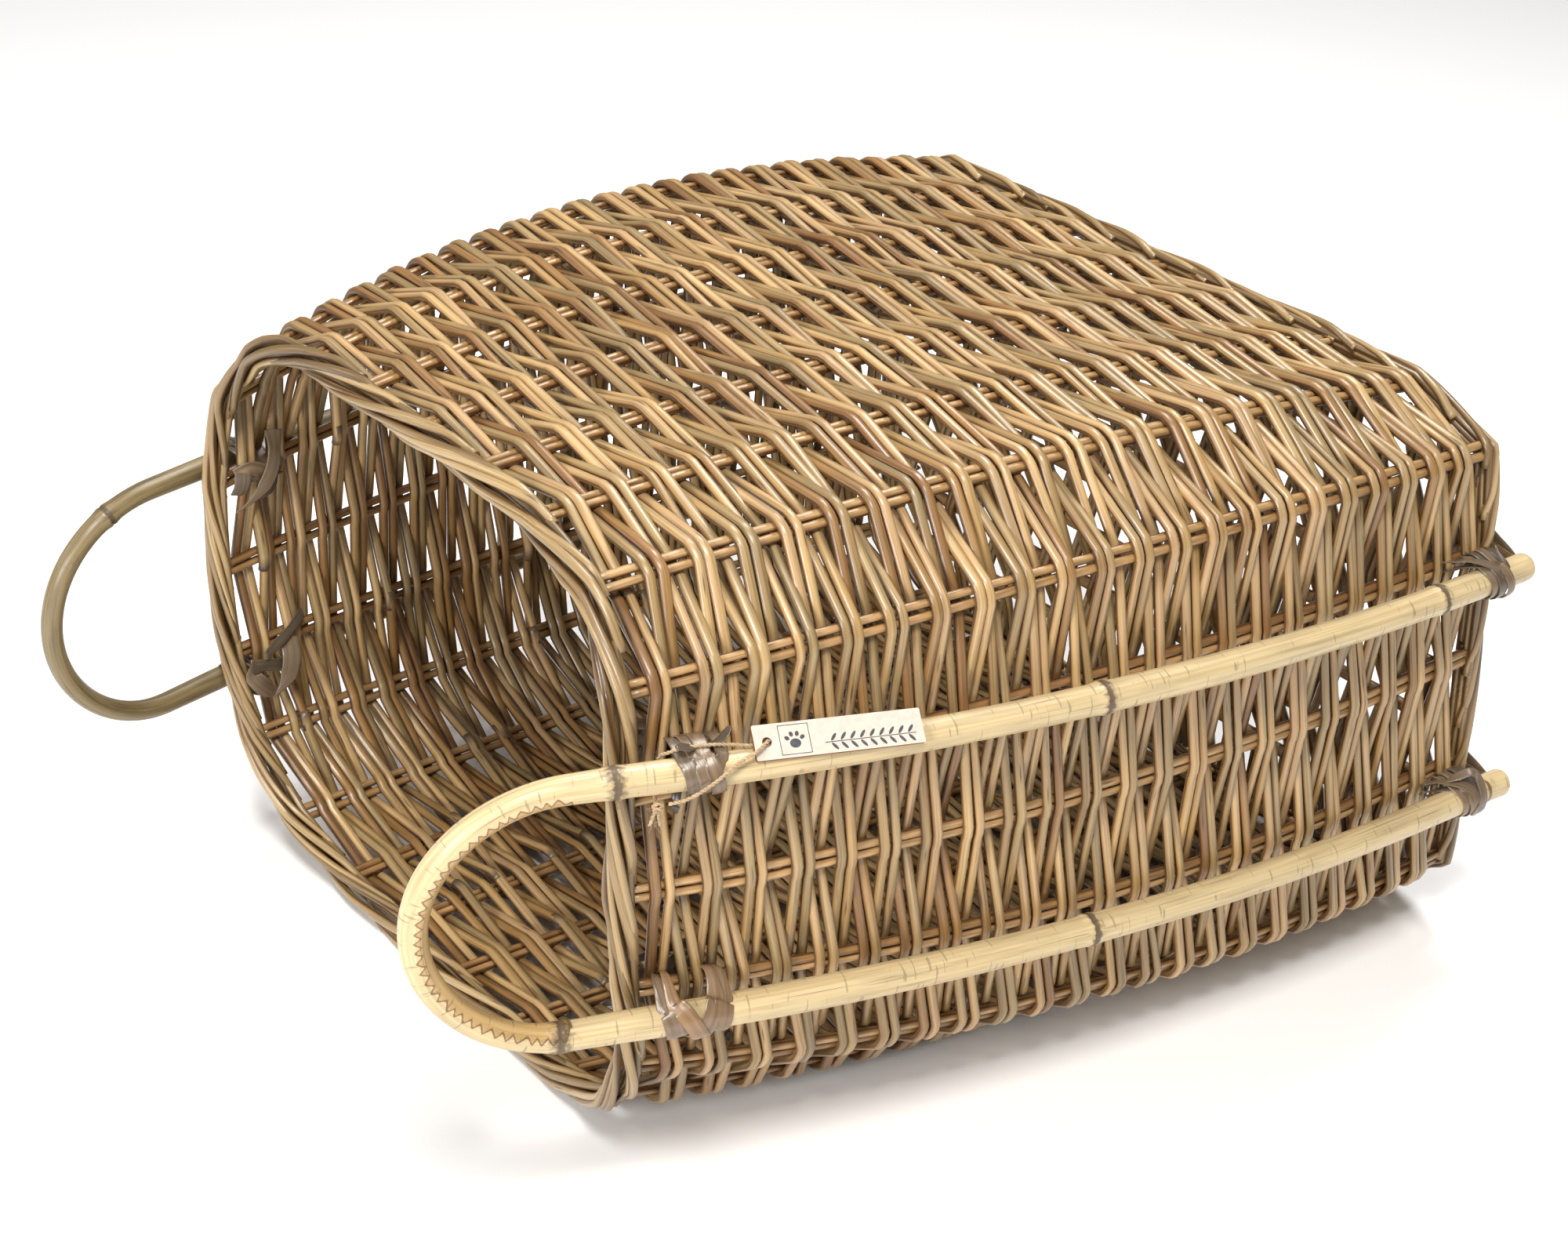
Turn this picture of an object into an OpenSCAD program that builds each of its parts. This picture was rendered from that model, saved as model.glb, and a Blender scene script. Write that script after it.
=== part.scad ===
// Willow carrying basket that lies on one long side, so that its mouth is the door of a pet's cave.
// The mouth faces -Y, the woven base closes the far end at +Y, and +Z is up.
// The origin is on the floor, under the middle of the whole object's bounding box.
// Every cross-section is a superellipse, and the stakes stand at equal spacings around it.

/* [Basket body] */
// Length of the woven body, from the mouth to the base
body_len = 520; // [430:5:640]
// Outer width of the mouth
mouth_w = 382; // [320:1:460]
// Outer height of the mouth
mouth_h = 328; // [290:1:400]
// Outer width of the base
base_w = 494; // [410:1:600]
// Outer height of the base
base_h = 314; // [290:1:380]
// Height of the widest line above the floor
waist_z = 168.7; // [140:0.1:200]
// How far each side bellies out at mid-length
belly = 23.4; // [0:0.1:40]
// How far the top crowns up at mid-length
crown = 19.8; // [0:0.1:40]
// Squareness of the mouth, as the exponent of its superellipse
mouth_square = 3.8; // [2.5:0.1:8]
// Squareness of the base, as the exponent of its superellipse
base_square = 9.5; // [3:0.1:10]
// How far the rim is set back at the top and bottom of the mouth
rim_setback = 17.8; // [0:0.1:40]
// Forward lean of the mouth's top edge, in degrees
mouth_lean = 3.3; // [-5:0.1:8]
// Forward lean of the base's top edge, in degrees
base_lean = 4.1; // [-5:0.1:8]
// How near the floor the outline has to come for the basket's weight to press it flat
rest_settle = 1; // [0.5:0.1:3]

/* [Willow rods] */
// Diameter of a side stake
stake_d = 5; // [3:0.1:8]
// Diameter of a weaver
weaver_d = 4.5; // [3:0.1:7]
// Diameter of a base stick
stick_d = 8; // [5:0.5:12]
// Number of base sticks
stick_count = 7; // [3:1:11]
// Stake pairs in a quarter of the way round
pairs_per_quarter = 6; // [4:1:7]
// Courses of weaving between the two borders
courses = 6; // [2:1:10]
// Depth of the rolled border around the mouth
rim_d = 20; // [12:1:30]
// Depth of the foot border around the base
foot_d = 18; // [12:1:30]
// Play between a rod and the weave that holds it
play = 0.3; // [0.1:0.05:0.5]

/* [Cane handles] */
// Diameter of the right handle's cane
right_cane_d = 15; // [10:0.5:22]
// Diameter of the left handle's cane
left_cane_d = 12; // [10:0.5:22]
// Gap between the cane and the outside of the weave
cane_gap = 5; // [4:0.5:10]
// How much lower the left handle sits than the right one
left_drop = 18; // [0:1:22]
// Height of the right upper leg above the waist, at the mouth
upper_leg_mouth = 70.5; // [50:0.5:95]
// Height of the right upper leg above the waist, at the base
upper_leg_base = 58.7; // [50:0.1:95]
// Depth of the right lower leg below the waist, at the mouth
lower_leg_mouth = 56.9; // [50:0.1:95]
// Depth of the right lower leg below the waist, at the base
lower_leg_base = 74.9; // [50:0.1:95]
// How far the loop's centre line reaches out past the mouth
loop_reach = 87.5; // [75:0.5:130]
// How far the right loop's tip leans in towards the middle
right_lean_in = 34; // [10:0.5:45]
// How far the left loop's tip leans in towards the middle
left_lean_in = 15; // [10:0.5:45]
// How far the upper leg runs on past the body's length
upper_tail = 1; // [0:1:40]
// How far the lower leg runs on past the body's length
lower_tail = 15; // [5:1:40]

/* [Lashings] */
// Width of a peeled lashing strip
strip_w = 6; // [3:0.5:9]
// Thickness of a lashing strip
strip_t = 1; // [0.5:0.1:1.5]
// Distance from the mouth to the middle of a front lashing
front_lash_y = 33; // [30:1:80]
// Distance from the body's far end to the middle of an upper leg's rear lashing
upper_lash_y = 29; // [15:1:60]
// Distance from the body's far end to the middle of a lower leg's rear lashing
lower_lash_y = 19; // [5:1:60]
// Half length of the cross that a lashing makes along the cane
lash_reach = 8; // [5:0.5:14]

/* [Hang tag] */
// Length of the tag
tag_len = 80; // [60:1:110]
// Width of the tag
tag_w = 16; // [12:0.5:26]
// Thickness of the tag
tag_t = 2; // [1:0.1:3]
// Diameter of the tag's hole
tag_hole_d = 4.4; // [4:0.1:6]
// Distance from the front upper lashing to the tag's hole, along the cane
tag_from_lash = 27; // [26:1:50]
// Angle of the tag's face above the horizontal
tag_face_up = 45; // [30:1:55]
// Droop of the tag's far end, in its own plane
tag_droop = 2; // [0:1:12]
// Diameter of the jute twine
twine_d = 1.8; // [1:0.1:2]

/* [Hidden] */
$fn = 48;
half_len = body_len / 2;
stake_pairs = 4 * pairs_per_quarter;
wall_t = 2 * weaver_d + stake_d + 2 * play;
slot_w = 2 * stake_d + 3 * play;
slot_levels = [0, -weaver_d, -weaver_d - stake_d - 2 * play, -wall_t];
quarter_steps = 32;
rim_end = rim_d / body_len;
foot_start = 1 - foot_d / body_len;

// The leg's slope and the loop's curl carry the cane on smoothly from the bellied side.
side_slope = ((base_w - mouth_w) / 2 + 4 * belly) / body_len;
function lean_in(side) = side > 0 ? right_lean_in : left_lean_in;
function loop_curl(side) = (lean_in(side) - side_slope * loop_reach) / pow(loop_reach, 2);
function cane_d(side) = side > 0 ? right_cane_d : left_cane_d;

// The whole object's bounding box is centred on the origin, from the loops' tips to the legs' ends.
front_y = -half_len - loop_reach - max(right_cane_d, left_cane_d) / 2;
back_y = half_len + max(upper_tail, lower_tail);
shift = [0, -(front_y + back_y) / 2, waist_z];

course_names = [for (i = [1:courses]) str("weave_course_", i)];
stake_names = [for (k = [1:stake_pairs]) str("stake_pair_", k)];
// Each lashing's name, its side, its leg (1 is the upper one) and its distance along the body.
lashings = [
    for (side = [1, -1]) for (leg = [1, -1]) for (end = ["front", "rear"])
    [str("lashing_", end, side > 0 ? "_right_" : "_left_", leg > 0 ? "upper" : "lower"),
     side, leg, end == "front" ? front_lash_y : body_len - (leg > 0 ? upper_lash_y : lower_lash_y)]
];

willow = "#a98a5c";
dark_willow = "#8a6c43";
pale_cane = "#d8bd82";
olive_cane = "#9a7c3f";
lashing_brown = "#5d4a36";
jute = "#c3a374";
tag_white = "#f1e6d6";

// ---- The basket's surface ----

function mix(a, b, t) = a + (b - a) * t;
function unit(v) = v / norm(v);
function bulge(t) = 4 * t * (1 - t);
function half_width(t) = mix(mouth_w, base_w, t) / 2 + belly * bulge(t);
function half_up(t) = mix(mouth_h, base_h, t) - waist_z + crown * bulge(t);
function half_height(t, z) = z > 0 ? half_up(t) : waist_z;
function squareness(t) = mix(mouth_square, base_square, t);

// Distance along Y of a point of the wall: t runs from 0 at the mouth to 1 at the base, z from the waist.
function wall_y(t, z) =
    mix(-half_len, half_len, t) + (1 - t) * rim_setback * pow(z / half_height(t, z), 2)
    - z * mix(tan(mouth_lean), tan(base_lean), t);

// Half width of the smooth outside at a height z from the waist.
function side_x(t, z) =
    half_width(t) * pow(1 - pow(min(abs(z) / half_height(t, z), 0.99), squareness(t)), 1 / squareness(t));

// A quarter of a superellipse, from the side to the top, and the same quarter cut into equal lengths.
function quarter(a, b, n) =
    [for (i = [0:quarter_steps])
        let(f = 90 * i / quarter_steps) [a * pow(cos(f), 2 / n), b * pow(sin(f), 2 / n)]];
function lengths(p) =
    [for (i = 0, s = 0; i < len(p); s = s + (i + 1 < len(p) ? norm(p[i + 1] - p[i]) : 0), i = i + 1) s];
function equal_parts(p, parts) =
    let(s = lengths(p), last = len(p) - 1,
        xs = [for (i = [0:last]) [s[i], p[i].x]], zs = [for (i = [0:last]) [s[i], p[i].y]])
    [for (k = [0:parts]) let(d = s[last] * k / parts) [lookup(d, xs), lookup(d, zs)]];

function on_floor(p) = p.y < rest_settle - waist_z;

// The stakes' places on the outline at t, as [x, z], from the right side over the top and round.
function outline(t) =
    let(m = pairs_per_quarter,
        up = equal_parts(quarter(half_width(t), half_up(t), squareness(t)), m),
        low = equal_parts(quarter(half_width(t), waist_z, squareness(t)), m))
    [for (k = [0:4 * m - 1])
        let(p = k <= m ? up[k]
            : k <= 2 * m ? [-up[2 * m - k].x, up[2 * m - k].y]
            : k <= 3 * m ? [-low[k - 2 * m].x, -low[k - 2 * m].y]
            : [low[4 * m - k].x, -low[4 * m - k].y])
        on_floor(p) ? [p.x, -waist_z] : p];

// One station along the body: each stake's point on the outside, its outward direction and its place on Y.
function station(t) =
    let(p = outline(t), n = len(p))
    [for (k = [0:n - 1])
        let(along = unit(p[(k + 1) % n] - p[(k + n - 1) % n]))
        [p[k], on_floor(p[k]) ? [0, -1] : [along.y, -along.x], wall_y(t, p[k].y)]];

// A point near a stake: depth is outward, across is along the outline.
function near_stake(s, depth, across) =
    let(at = s[0] + depth * s[1] + across * [-s[1].y, s[1].x])
    [at.x, s[2], at.y] + shift;

course_ends = [for (i = [0:courses]) mix(rim_end, foot_start, i / courses)];
stations = [for (t = course_ends) station(t)];
mouth_station = station(0);
base_station = station(1);

// ---- Mesh helpers ----

function quad(a, b, c, d) = [[a, b, c], [a, c, d]];
function flat(lists) = [for (l = lists) each l];

// A solid along a row of loops that all have the same number of points.
module sweep(loops) {
    n = len(loops[0]);
    last = len(loops) - 1;
    sides = flat([for (i = [0:last - 1]) for (j = [0:n - 1])
        let(a = i * n + j, b = i * n + (j + 1) % n) quad(a, b, b + n, a + n)]);
    polyhedron(
        points = flat(loops),
        faces = concat(sides, [[for (j = [n - 1:-1:0]) j], [for (j = [0:n - 1]) last * n + j]])
    );
}

// A closed ring along loops that come back to the first one.
module ring(loops) {
    n = len(loops[0]);
    count = len(loops);
    polyhedron(
        points = flat(loops),
        faces = flat([for (i = [0:count - 1]) for (j = [0:n - 1])
            let(a = i * n, b = ((i + 1) % count) * n, k = (j + 1) % n) quad(a + j, a + k, b + k, b + j)])
    );
}

function across(v, along) = unit(v - (v * along) * along);

// A round rod of diameter d along a path, with its section carried along the path without a twist.
module rod(path, d, sides) {
    last = len(path) - 1;
    ways = [for (i = [0:last]) unit(path[min(i + 1, last)] - path[max(i - 1, 0)])];
    outs = [for (i = 0, out = across(abs(ways[0].x) < 0.9 ? [1, 0, 0] : [0, 0, 1], ways[0]); i <= last;
                 out = across(out, ways[min(i + 1, last)]), i = i + 1) out];
    sweep([for (i = [0:last])
        let(up = cross(outs[i], ways[i]))
        [for (j = [0:sides - 1])
            let(f = 360 * j / sides) path[i] + d / 2 * (cos(f) * outs[i] + sin(f) * up)]]);
}

// ---- Woven wall, borders and base ----

// One course of the woven wall, with a slot through it for each stake pair.
module weave_course(i) {
    ends = [stations[i], stations[i + 1]];
    n = stake_pairs;
    function at(e, k, side, level) = 8 * (e * n + k % n) + 4 * side + level;
    function wall(k, side, k2, side2, level) =
        quad(at(0, k, side, level), at(0, k2, side2, level), at(1, k2, side2, level), at(1, k, side, level));
    function slot_side(k, side) =
        quad(at(0, k, side, 2), at(1, k, side, 2), at(1, k, side, 1), at(0, k, side, 1));
    function cap(e, k, side, k2, side2, level) =
        quad(at(e, k, side, level + 1), at(e, k2, side2, level + 1),
             at(e, k2, side2, level), at(e, k, side, level));
    function flip(faces) = [for (f = faces) [f[2], f[1], f[0]]];
    function cap_faces(e, k) = concat(
        cap(e, k, 0, k, 1, 0), cap(e, k, 0, k, 1, 2),
        flat([for (level = [0:2]) cap(e, k, 1, k + 1, 0, level)]));
    color(i % 2 == 0 ? willow : dark_willow)
    polyhedron(
        points = [for (e = ends) for (s = e) for (side = [-1, 1]) for (depth = slot_levels)
            near_stake(s, depth, side * slot_w / 2)],
        faces = flat([for (k = [0:n - 1]) concat(
            wall(k, 0, k, 1, 0), wall(k, 1, k + 1, 0, 0),
            flip(wall(k, 0, k, 1, 3)), flip(wall(k, 1, k + 1, 0, 3)),
            flip(wall(k, 0, k, 1, 1)), wall(k, 0, k, 1, 2),
            slot_side(k, 0), flip(slot_side(k, 1)),
            cap_faces(0, k), flip(cap_faces(1, k)))])
    );
}

// Two stakes side by side, from the rolled border to the foot border.
module stake_pair(k) {
    color(dark_willow)
    for (side = [-1, 1])
        sweep([for (s = stations)
            [for (j = [0:5])
                near_stake(s[k], -wall_t / 2 + stake_d / 2 * cos(60 * j),
                           side * (stake_d + play) / 2 + stake_d / 2 * sin(60 * j))]]);
}

// A border whose profile is a list of [share of the wall's thickness, share of the border's depth].
module border(from, to, profile) {
    ring([for (k = [0:stake_pairs - 1]) for (side = [-1, 1])
        [for (p = profile)
            mix(near_stake(from[k], -p.x * wall_t, side * slot_w / 2),
                near_stake(to[k], -p.x * wall_t, side * slot_w / 2), p.y)]]);
}

module rim_border() {
    near_weave = 1 - 2 * play / rim_d;
    color(willow)
    border(mouth_station, stations[0],
           [[0, near_weave], [0, 0.45], [0.2, 0.1], [0.5, 0], [0.8, 0.1], [1, 0.45], [1, near_weave]]);
}

module foot_border() {
    near_weave = 2 * play / foot_d;
    color(willow)
    border(stations[courses], base_station,
           [[0, near_weave], [1, near_weave], [1, 0.55], [0.8, 0.9], [0.5, 1], [0.2, 0.9], [0, 0.55]]);
}

// The base plate's outline fits inside the wall and the foot border, over the plate's whole thickness.
base_t = 2 * weaver_d + stick_d + 2 * play;
base_inset = 4;
base_gap = 1;
base_levels = [for (t = [1 - 1.2 * (base_t + base_inset) / body_len, foot_start, 1]) station(t)];
base_outline = [
    for (k = [0:stake_pairs - 1]) for (side = [-1, 1])
    let(ps = [for (s = base_levels) near_stake(s[k], -wall_t - base_gap, side * slot_w / 2)],
        x = min([for (p = ps) abs(p.x)]), z = min([for (p = ps) abs(p.z - waist_z)]))
    [x * sign(ps[0].x), (z - base_t * sin(base_lean)) * sign(ps[0].z - waist_z) / cos(base_lean)]
];
stick_pitch = (base_h - 2 * wall_t) / (stick_count + 1);

// Puts its children in the base's own leaning frame: X across, Y up, and Z towards the mouth.
module on_base() {
    translate([0, half_len - base_inset + shift.y, waist_z]) rotate([90 + base_lean, 0, 0]) children();
}

function stick_y(i) = (i - (stick_count + 1) / 2) * stick_pitch + (base_h / 2 - waist_z);

module base_weave() {
    color(dark_willow) on_base()
    difference() {
        linear_extrude(base_t) polygon(base_outline);
        for (i = [1:stick_count])
            translate([0, stick_y(i), base_t / 2])
            cube([2 * base_w, stick_d + 2 * play, stick_d + 2 * play], center = true);
    }
}

module base_sticks() {
    stick_len = 2 * (min(half_width(foot_start), half_width(1)) - wall_t - 3);
    color(willow) on_base()
    for (i = [1:stick_count])
        translate([0, stick_y(i), base_t / 2]) rotate([0, 90, 0])
        cylinder(d = stick_d, h = stick_len, center = true);
}

// ---- Cane handles ----

function drop(side) = side > 0 ? 0 : left_drop;
function leg_z(t, leg, side) =
    (leg > 0 ? mix(upper_leg_mouth, upper_leg_base, t) : -mix(lower_leg_mouth, lower_leg_base, t))
    - drop(side);

// A point on the middle line of a leg, y millimetres from the mouth.
function leg_point(y, leg, side) =
    let(t = y / body_len, held = min(max(t, 0), 1), z = leg_z(t, leg, side))
    [side * (side_x(held, z) + cane_d(side) / 2 + cane_gap), -half_len + y, z] + shift;

function loop_mid_z(side) = (upper_leg_mouth - lower_leg_mouth) / 2 - drop(side);
loop_half_h = (upper_leg_mouth + lower_leg_mouth) / 2;

// A point on the loop past the mouth: out is the distance from the mouth.
function loop_point(out, z, side) =
    [side * (side_x(0, z) + cane_d(side) / 2 + cane_gap - side_slope * out - loop_curl(side) * out * out),
     -half_len - out, z] + shift;

leg_steps = 28;
loop_steps = 16;
loop_straight = loop_reach - loop_half_h;

function cane_path(side) =
    concat(
        [for (i = [0:leg_steps]) leg_point((body_len + upper_tail) * (1 - i / leg_steps), 1, side)],
        [for (i = [0:loop_steps]) let(f = 90 - 180 * i / loop_steps)
            loop_point(loop_straight + loop_half_h * cos(f), loop_mid_z(side) + loop_half_h * sin(f), side)],
        [for (i = [0:leg_steps]) leg_point((body_len + lower_tail) * i / leg_steps, -1, side)]);

module cane_handle_right() {
    color(pale_cane) rod(cane_path(1), right_cane_d, 12);
}

module cane_handle_left() {
    color(olive_cane) rod(cane_path(-1), left_cane_d, 12);
}

// ---- Lashings ----

// The frame of a cane at y: its middle, the way along it, straight out from the basket, and up across it.
function cane_frame(y, leg, side) =
    let(step = 5, along = unit(leg_point(y + step, leg, side) - leg_point(y - step, leg, side)),
        out = unit([side, 0, 0] - side * along.x * along))
    [leg_point(y, leg, side), along, out, side * cross(out, along)];

// A point around a cane: w along it, an angle up from straight out, and a distance from its middle.
function around(frame, w, angle, r) =
    frame[0] + w * frame[1] + r * (cos(angle) * frame[2] + sin(angle) * frame[3]);

wrap_end = 125;
wrap_steps = 10;

// One flat strip that crosses a cane on the slant, from above it to below it. Seen from outside the basket,
// the strip's first edge is on the right.
module slant_strip(frame, side, slant, lift) {
    low = cane_d(side) / 2 + 1.5 * play + lift;
    high = low + strip_t;
    // The turn of the strip: its angle around the cane and its place along it.
    turns = [for (i = [0:wrap_steps]) let(s = 2 * i / wrap_steps - 1) [s * wrap_end, s * slant * lash_reach]];
    sweep([for (u = turns)
        let(first = u[1] + side * strip_w / 2, second = u[1] - side * strip_w / 2)
        [around(frame, first, u[0], low), around(frame, first, u[0], high),
         around(frame, second, u[0], high), around(frame, second, u[0], low)]]);
}

knot_len = 24;
knot_w = 11;
knot_t = 3;

// Two flat strip ends side by side, domed over the middle, on a face whose outward direction is thick.
module knot(at, long, thick) {
    wide = cross(thick, long);
    for (end = [-1, 1])
        sweep([for (w = [-knot_len, -knot_len / 2, 0, knot_len / 2, knot_len] / 2)
            let(top = knot_t / (1 + pow(w / knot_w, 2)), mid = end * (knot_w / 2 + play),
                low = mid - knot_w / 2, high = mid + knot_w / 2, base = at + w * long)
            [base + low * wide, base + top * thick + low * wide,
             base + top * thick + high * wide, base + high * wide]]);
}

// Half width of the cabin, inside the wall, at t and a height z from the waist.
function inside_x(t, z) =
    let(s = station(t), n = stake_pairs, m = pairs_per_quarter - 1)
    lookup(z, [for (k = [-m:m]) for (side = [-1, 1])
        let(p = near_stake(s[(k + n) % n], -wall_t, side * slot_w / 2)) [p.z - waist_z, p.x]]);

// The knot inside the wall, flat on the line between two points of the wall above and below the cane.
module inside_knot(frame, side, t) {
    z = frame[0].z - waist_z;
    ends = [for (high = [z + knot_w, z - knot_w])
        [side * inside_x(t, high), shift.y + wall_y(t, high), high + waist_z]];
    inward = side * unit(cross(ends[0] - ends[1], frame[1]));
    knot((ends[0] + ends[1]) / 2 + 5 * play * inward, frame[1], inward);
}

// The knot behind the foot border, beside the leg's end.
module rear_knot(leg, side) {
    wall = cane_d(side) / 2 + cane_gap + wall_t / 2 + 5 * play;
    at = leg_point(body_len, leg, side);
    knot([at.x - side * wall, shift.y + wall_y(1, at.z - waist_z) + knot_t / 2, at.z],
         [side, 0, 0], [0, 1, 0]);
}

// Two crossed strips over the cane, and their knot.
module lashing(l) {
    side = l[1];
    frame = cane_frame(l[3], l[2], side);
    color(lashing_brown) {
        slant_strip(frame, side, 1, 0);
        slant_strip(frame, side, -1, strip_t + play);
        if (l[3] < half_len) inside_knot(frame, side, l[3] / body_len);
        else rear_knot(l[2], side);
    }
}

// ---- Hang tag and its twine ----

tag_cane = cane_frame(front_lash_y + tag_from_lash, 1, 1);
tag_out = cos(tag_face_up) * tag_cane[2] + sin(tag_face_up) * tag_cane[3];
tag_lift = right_cane_d / 2 + play + tag_t / 2;
tag_hole_in = 6;
// The tag's middle lies this far above its line of contact with the cane, so that the hole is clear of it.
tag_rise = tag_w / 2 - 1.5;
tag_centre = tag_cane[0] + tag_lift * tag_out
    + tag_rise * (cos(tag_face_up) * tag_cane[3] - sin(tag_face_up) * tag_cane[2]);

module hang_tag() {
    rise = across(tag_cane[3] - tan(tag_face_up) * tag_cane[2], tag_out);
    along = cos(tag_droop) * tag_cane[1] - sin(tag_droop) * rise;
    up = cross(tag_out, along);
    color(tag_white)
    multmatrix([for (i = [0:2]) [along[i], up[i], tag_out[i], tag_centre[i]]])
    difference() {
        translate([-tag_hole_in, -tag_w / 2, -tag_t / 2]) cube([tag_len, tag_w, tag_t]);
        cylinder(d = tag_hole_d, h = 3 * tag_t, center = true);
    }
}

// The twine's route around the cane, as [along the cane from the lashing, angle up from straight out, distance
// from the cane's skin]. It runs from the knot under the cane, behind it and over it to the tag's hole, and
// back across the front of the lashing to the knot.
twine_route = [
    [-21, -90, 6], [-20, -120, 3], [-19, -150, 2.5], [-18, 180, 2.5], [-17, 145, 2.5], [-15, 115, 2.5],
    [-8, 100, 4.5], [4, 96, 4.5], [13, 94, 3.5], [20, 93, 2.2]
];
twine_back = [
    [21, 54, 5.5], [16, 46, 5], [10, 32, 4.5], [3, 10, 4.5], [-4, -12, 4.5], [-11, -37, 4.5], [-17, -62, 4.5]
];
twine_knot = [-21, -80, 6];

module tag_twine() {
    frame = cane_frame(front_lash_y, 1, 1);
    function spot(p) = around(frame, p[0], p[1], right_cane_d / 2 + p[2]);
    past_hole = (tag_t + twine_d) / 2 + 0.5;
    color(jute) {
        rod(concat([for (p = twine_route) spot(p)],
                   [for (w = [-past_hole, 0, past_hole]) tag_centre + w * tag_out],
                   [for (p = twine_back) spot(p)]),
            twine_d, 8);
        translate(spot(twine_knot)) sphere(d = 3 * twine_d);
    }
}

// ---- What is drawn ----

rim_border();
foot_border();
base_weave();
base_sticks();
for (i = [0:courses - 1])
    weave_course(i);
for (k = [0:stake_pairs - 1])
    stake_pair(k);
cane_handle_right();
cane_handle_left();
for (l = lashings)
    lashing(l);
tag_twine();
hang_tag();
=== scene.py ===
"""The looks of a willow carrying basket that lies on its side as a pet's cave.

Every rod of the weave is swept on its own. Lengths are in metres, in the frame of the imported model: the mouth
faces -Y, the base closes the far end at +Y, and the floor is at z = 0.
"""

import math

import bmesh
import bpy
import numpy as np
from mathutils import Matrix, Vector


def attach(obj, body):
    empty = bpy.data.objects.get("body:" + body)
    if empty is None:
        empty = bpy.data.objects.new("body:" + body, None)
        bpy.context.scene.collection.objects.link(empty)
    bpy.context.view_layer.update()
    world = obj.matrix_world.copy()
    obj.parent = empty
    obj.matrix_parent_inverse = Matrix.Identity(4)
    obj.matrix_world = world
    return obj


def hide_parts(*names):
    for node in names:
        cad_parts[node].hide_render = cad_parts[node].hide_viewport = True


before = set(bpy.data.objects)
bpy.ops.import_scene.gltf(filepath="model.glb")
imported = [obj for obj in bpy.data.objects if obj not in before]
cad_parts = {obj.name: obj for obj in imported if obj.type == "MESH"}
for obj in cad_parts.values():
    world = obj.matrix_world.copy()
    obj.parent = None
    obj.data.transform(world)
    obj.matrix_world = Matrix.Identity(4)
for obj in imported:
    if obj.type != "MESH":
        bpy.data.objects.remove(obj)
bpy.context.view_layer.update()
rng = np.random.default_rng(11)

# ---- Driving dimensions, the same as the design's ----

BODY_LEN = 0.520
MOUTH_W, MOUTH_H = 0.382, 0.328
BASE_W, BASE_H = 0.494, 0.314
WAIST_Z = 0.1687
BELLY, CROWN = 0.0234, 0.0198
MOUTH_SQUARE, BASE_SQUARE = 3.8, 9.5
RIM_SETBACK = 0.0178
MOUTH_LEAN, BASE_LEAN = math.radians(3.3), math.radians(4.1)
REST_SETTLE = 0.001

STAKE_D, WEAVER_D, STICK_D = 0.005, 0.0045, 0.008
PLAY = 0.0003
PAIRS = 24
COURSES = 6
STICKS = 7
RIM_D, FOOT_D = 0.020, 0.018
WALL_T = 2 * WEAVER_D + STAKE_D + 2 * PLAY
ROW_PITCH = 0.0110
FLAT = 1.28  # a weaver is this much wider than it is thick

# The two handles differ, so these hold a value for the right side, 1, and for the left side, -1. LEG_TAIL and
# REAR_LASH hold one for the upper leg, 1, and for the lower leg, -1.
CANE_D = {1: 0.015, -1: 0.012}
HANDLE_DROP = {1: 0.0, -1: 0.018}
LOOP_LEAN_IN = {1: 0.034, -1: 0.015}
CANE_GAP = 0.005
UPPER_LEG = (0.0705, 0.0587)
LOWER_LEG = (0.0569, 0.0749)
LOOP_REACH = 0.0875
LEG_TAIL = {1: 0.001, -1: 0.015}

FRONT_LASH = 0.033
REAR_LASH = {1: 0.029, -1: 0.019}
STRIP_T = 0.0009
REAR_KNOT_W = 0.00656
TAG_LEN, TAG_W, TAG_T, TAG_HOLE_D, TAG_HOLE_IN = 0.080, 0.016, 0.002, 0.0044, 0.006
TAG_FROM_LASH = 0.027
TAG_FACE_UP, TAG_DROOP = math.radians(45), math.radians(2)
TWINE_D = 0.0018

HALF_LEN = BODY_LEN / 2
SHIFT_Y = (LOOP_REACH + max(CANE_D.values()) / 2 - max(LEG_TAIL.values())) / 2
RIM_END = RIM_D / BODY_LEN
FOOT_START = 1 - FOOT_D / BODY_LEN
SIDE_SLOPE = ((BASE_W - MOUTH_W) / 2 + 4 * BELLY) / BODY_LEN
LOOP_CURL = {side: (lean - SIDE_SLOPE * LOOP_REACH) / LOOP_REACH**2 for side, lean in LOOP_LEAN_IN.items()}


# ---- Small sums ----


def mix(a, b, t):
    return a + (b - a) * t


def unit(v):
    v = np.asarray(v, float)
    return v / np.maximum(np.linalg.norm(v, axis=-1, keepdims=True), 1e-12)


def run_along(path):
    """The distance along a path at each of its points."""
    return np.concatenate([[0], np.cumsum(np.linalg.norm(np.diff(path, axis=0), axis=1))])


def read_off(at, run, points):
    """Points that are known at the distances run, read off at the distances at."""
    return np.stack([np.interp(at, run, column) for column in np.transpose(points)], 1)


def catmull_rom(a, b, c, d, f):
    """The point a share f of the way from b to c, on a smooth curve through a, b, c and d."""
    return 0.5 * (2 * b + (c - a) * f + (2 * a - 5 * b + 4 * c - d) * f**2 + (3 * b - 3 * c + d - a) * f**3)


def all_round(count):
    """That many angles, evenly spaced round a full turn."""
    return np.arange(count) * 2 * math.pi / count


def slow_noise(n, step, size):
    """Smooth random values: one knot for every step samples."""
    knots = rng.normal(0, size, n // step + 3)
    return np.interp(np.arange(n) / step, np.arange(len(knots)), knots)


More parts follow.
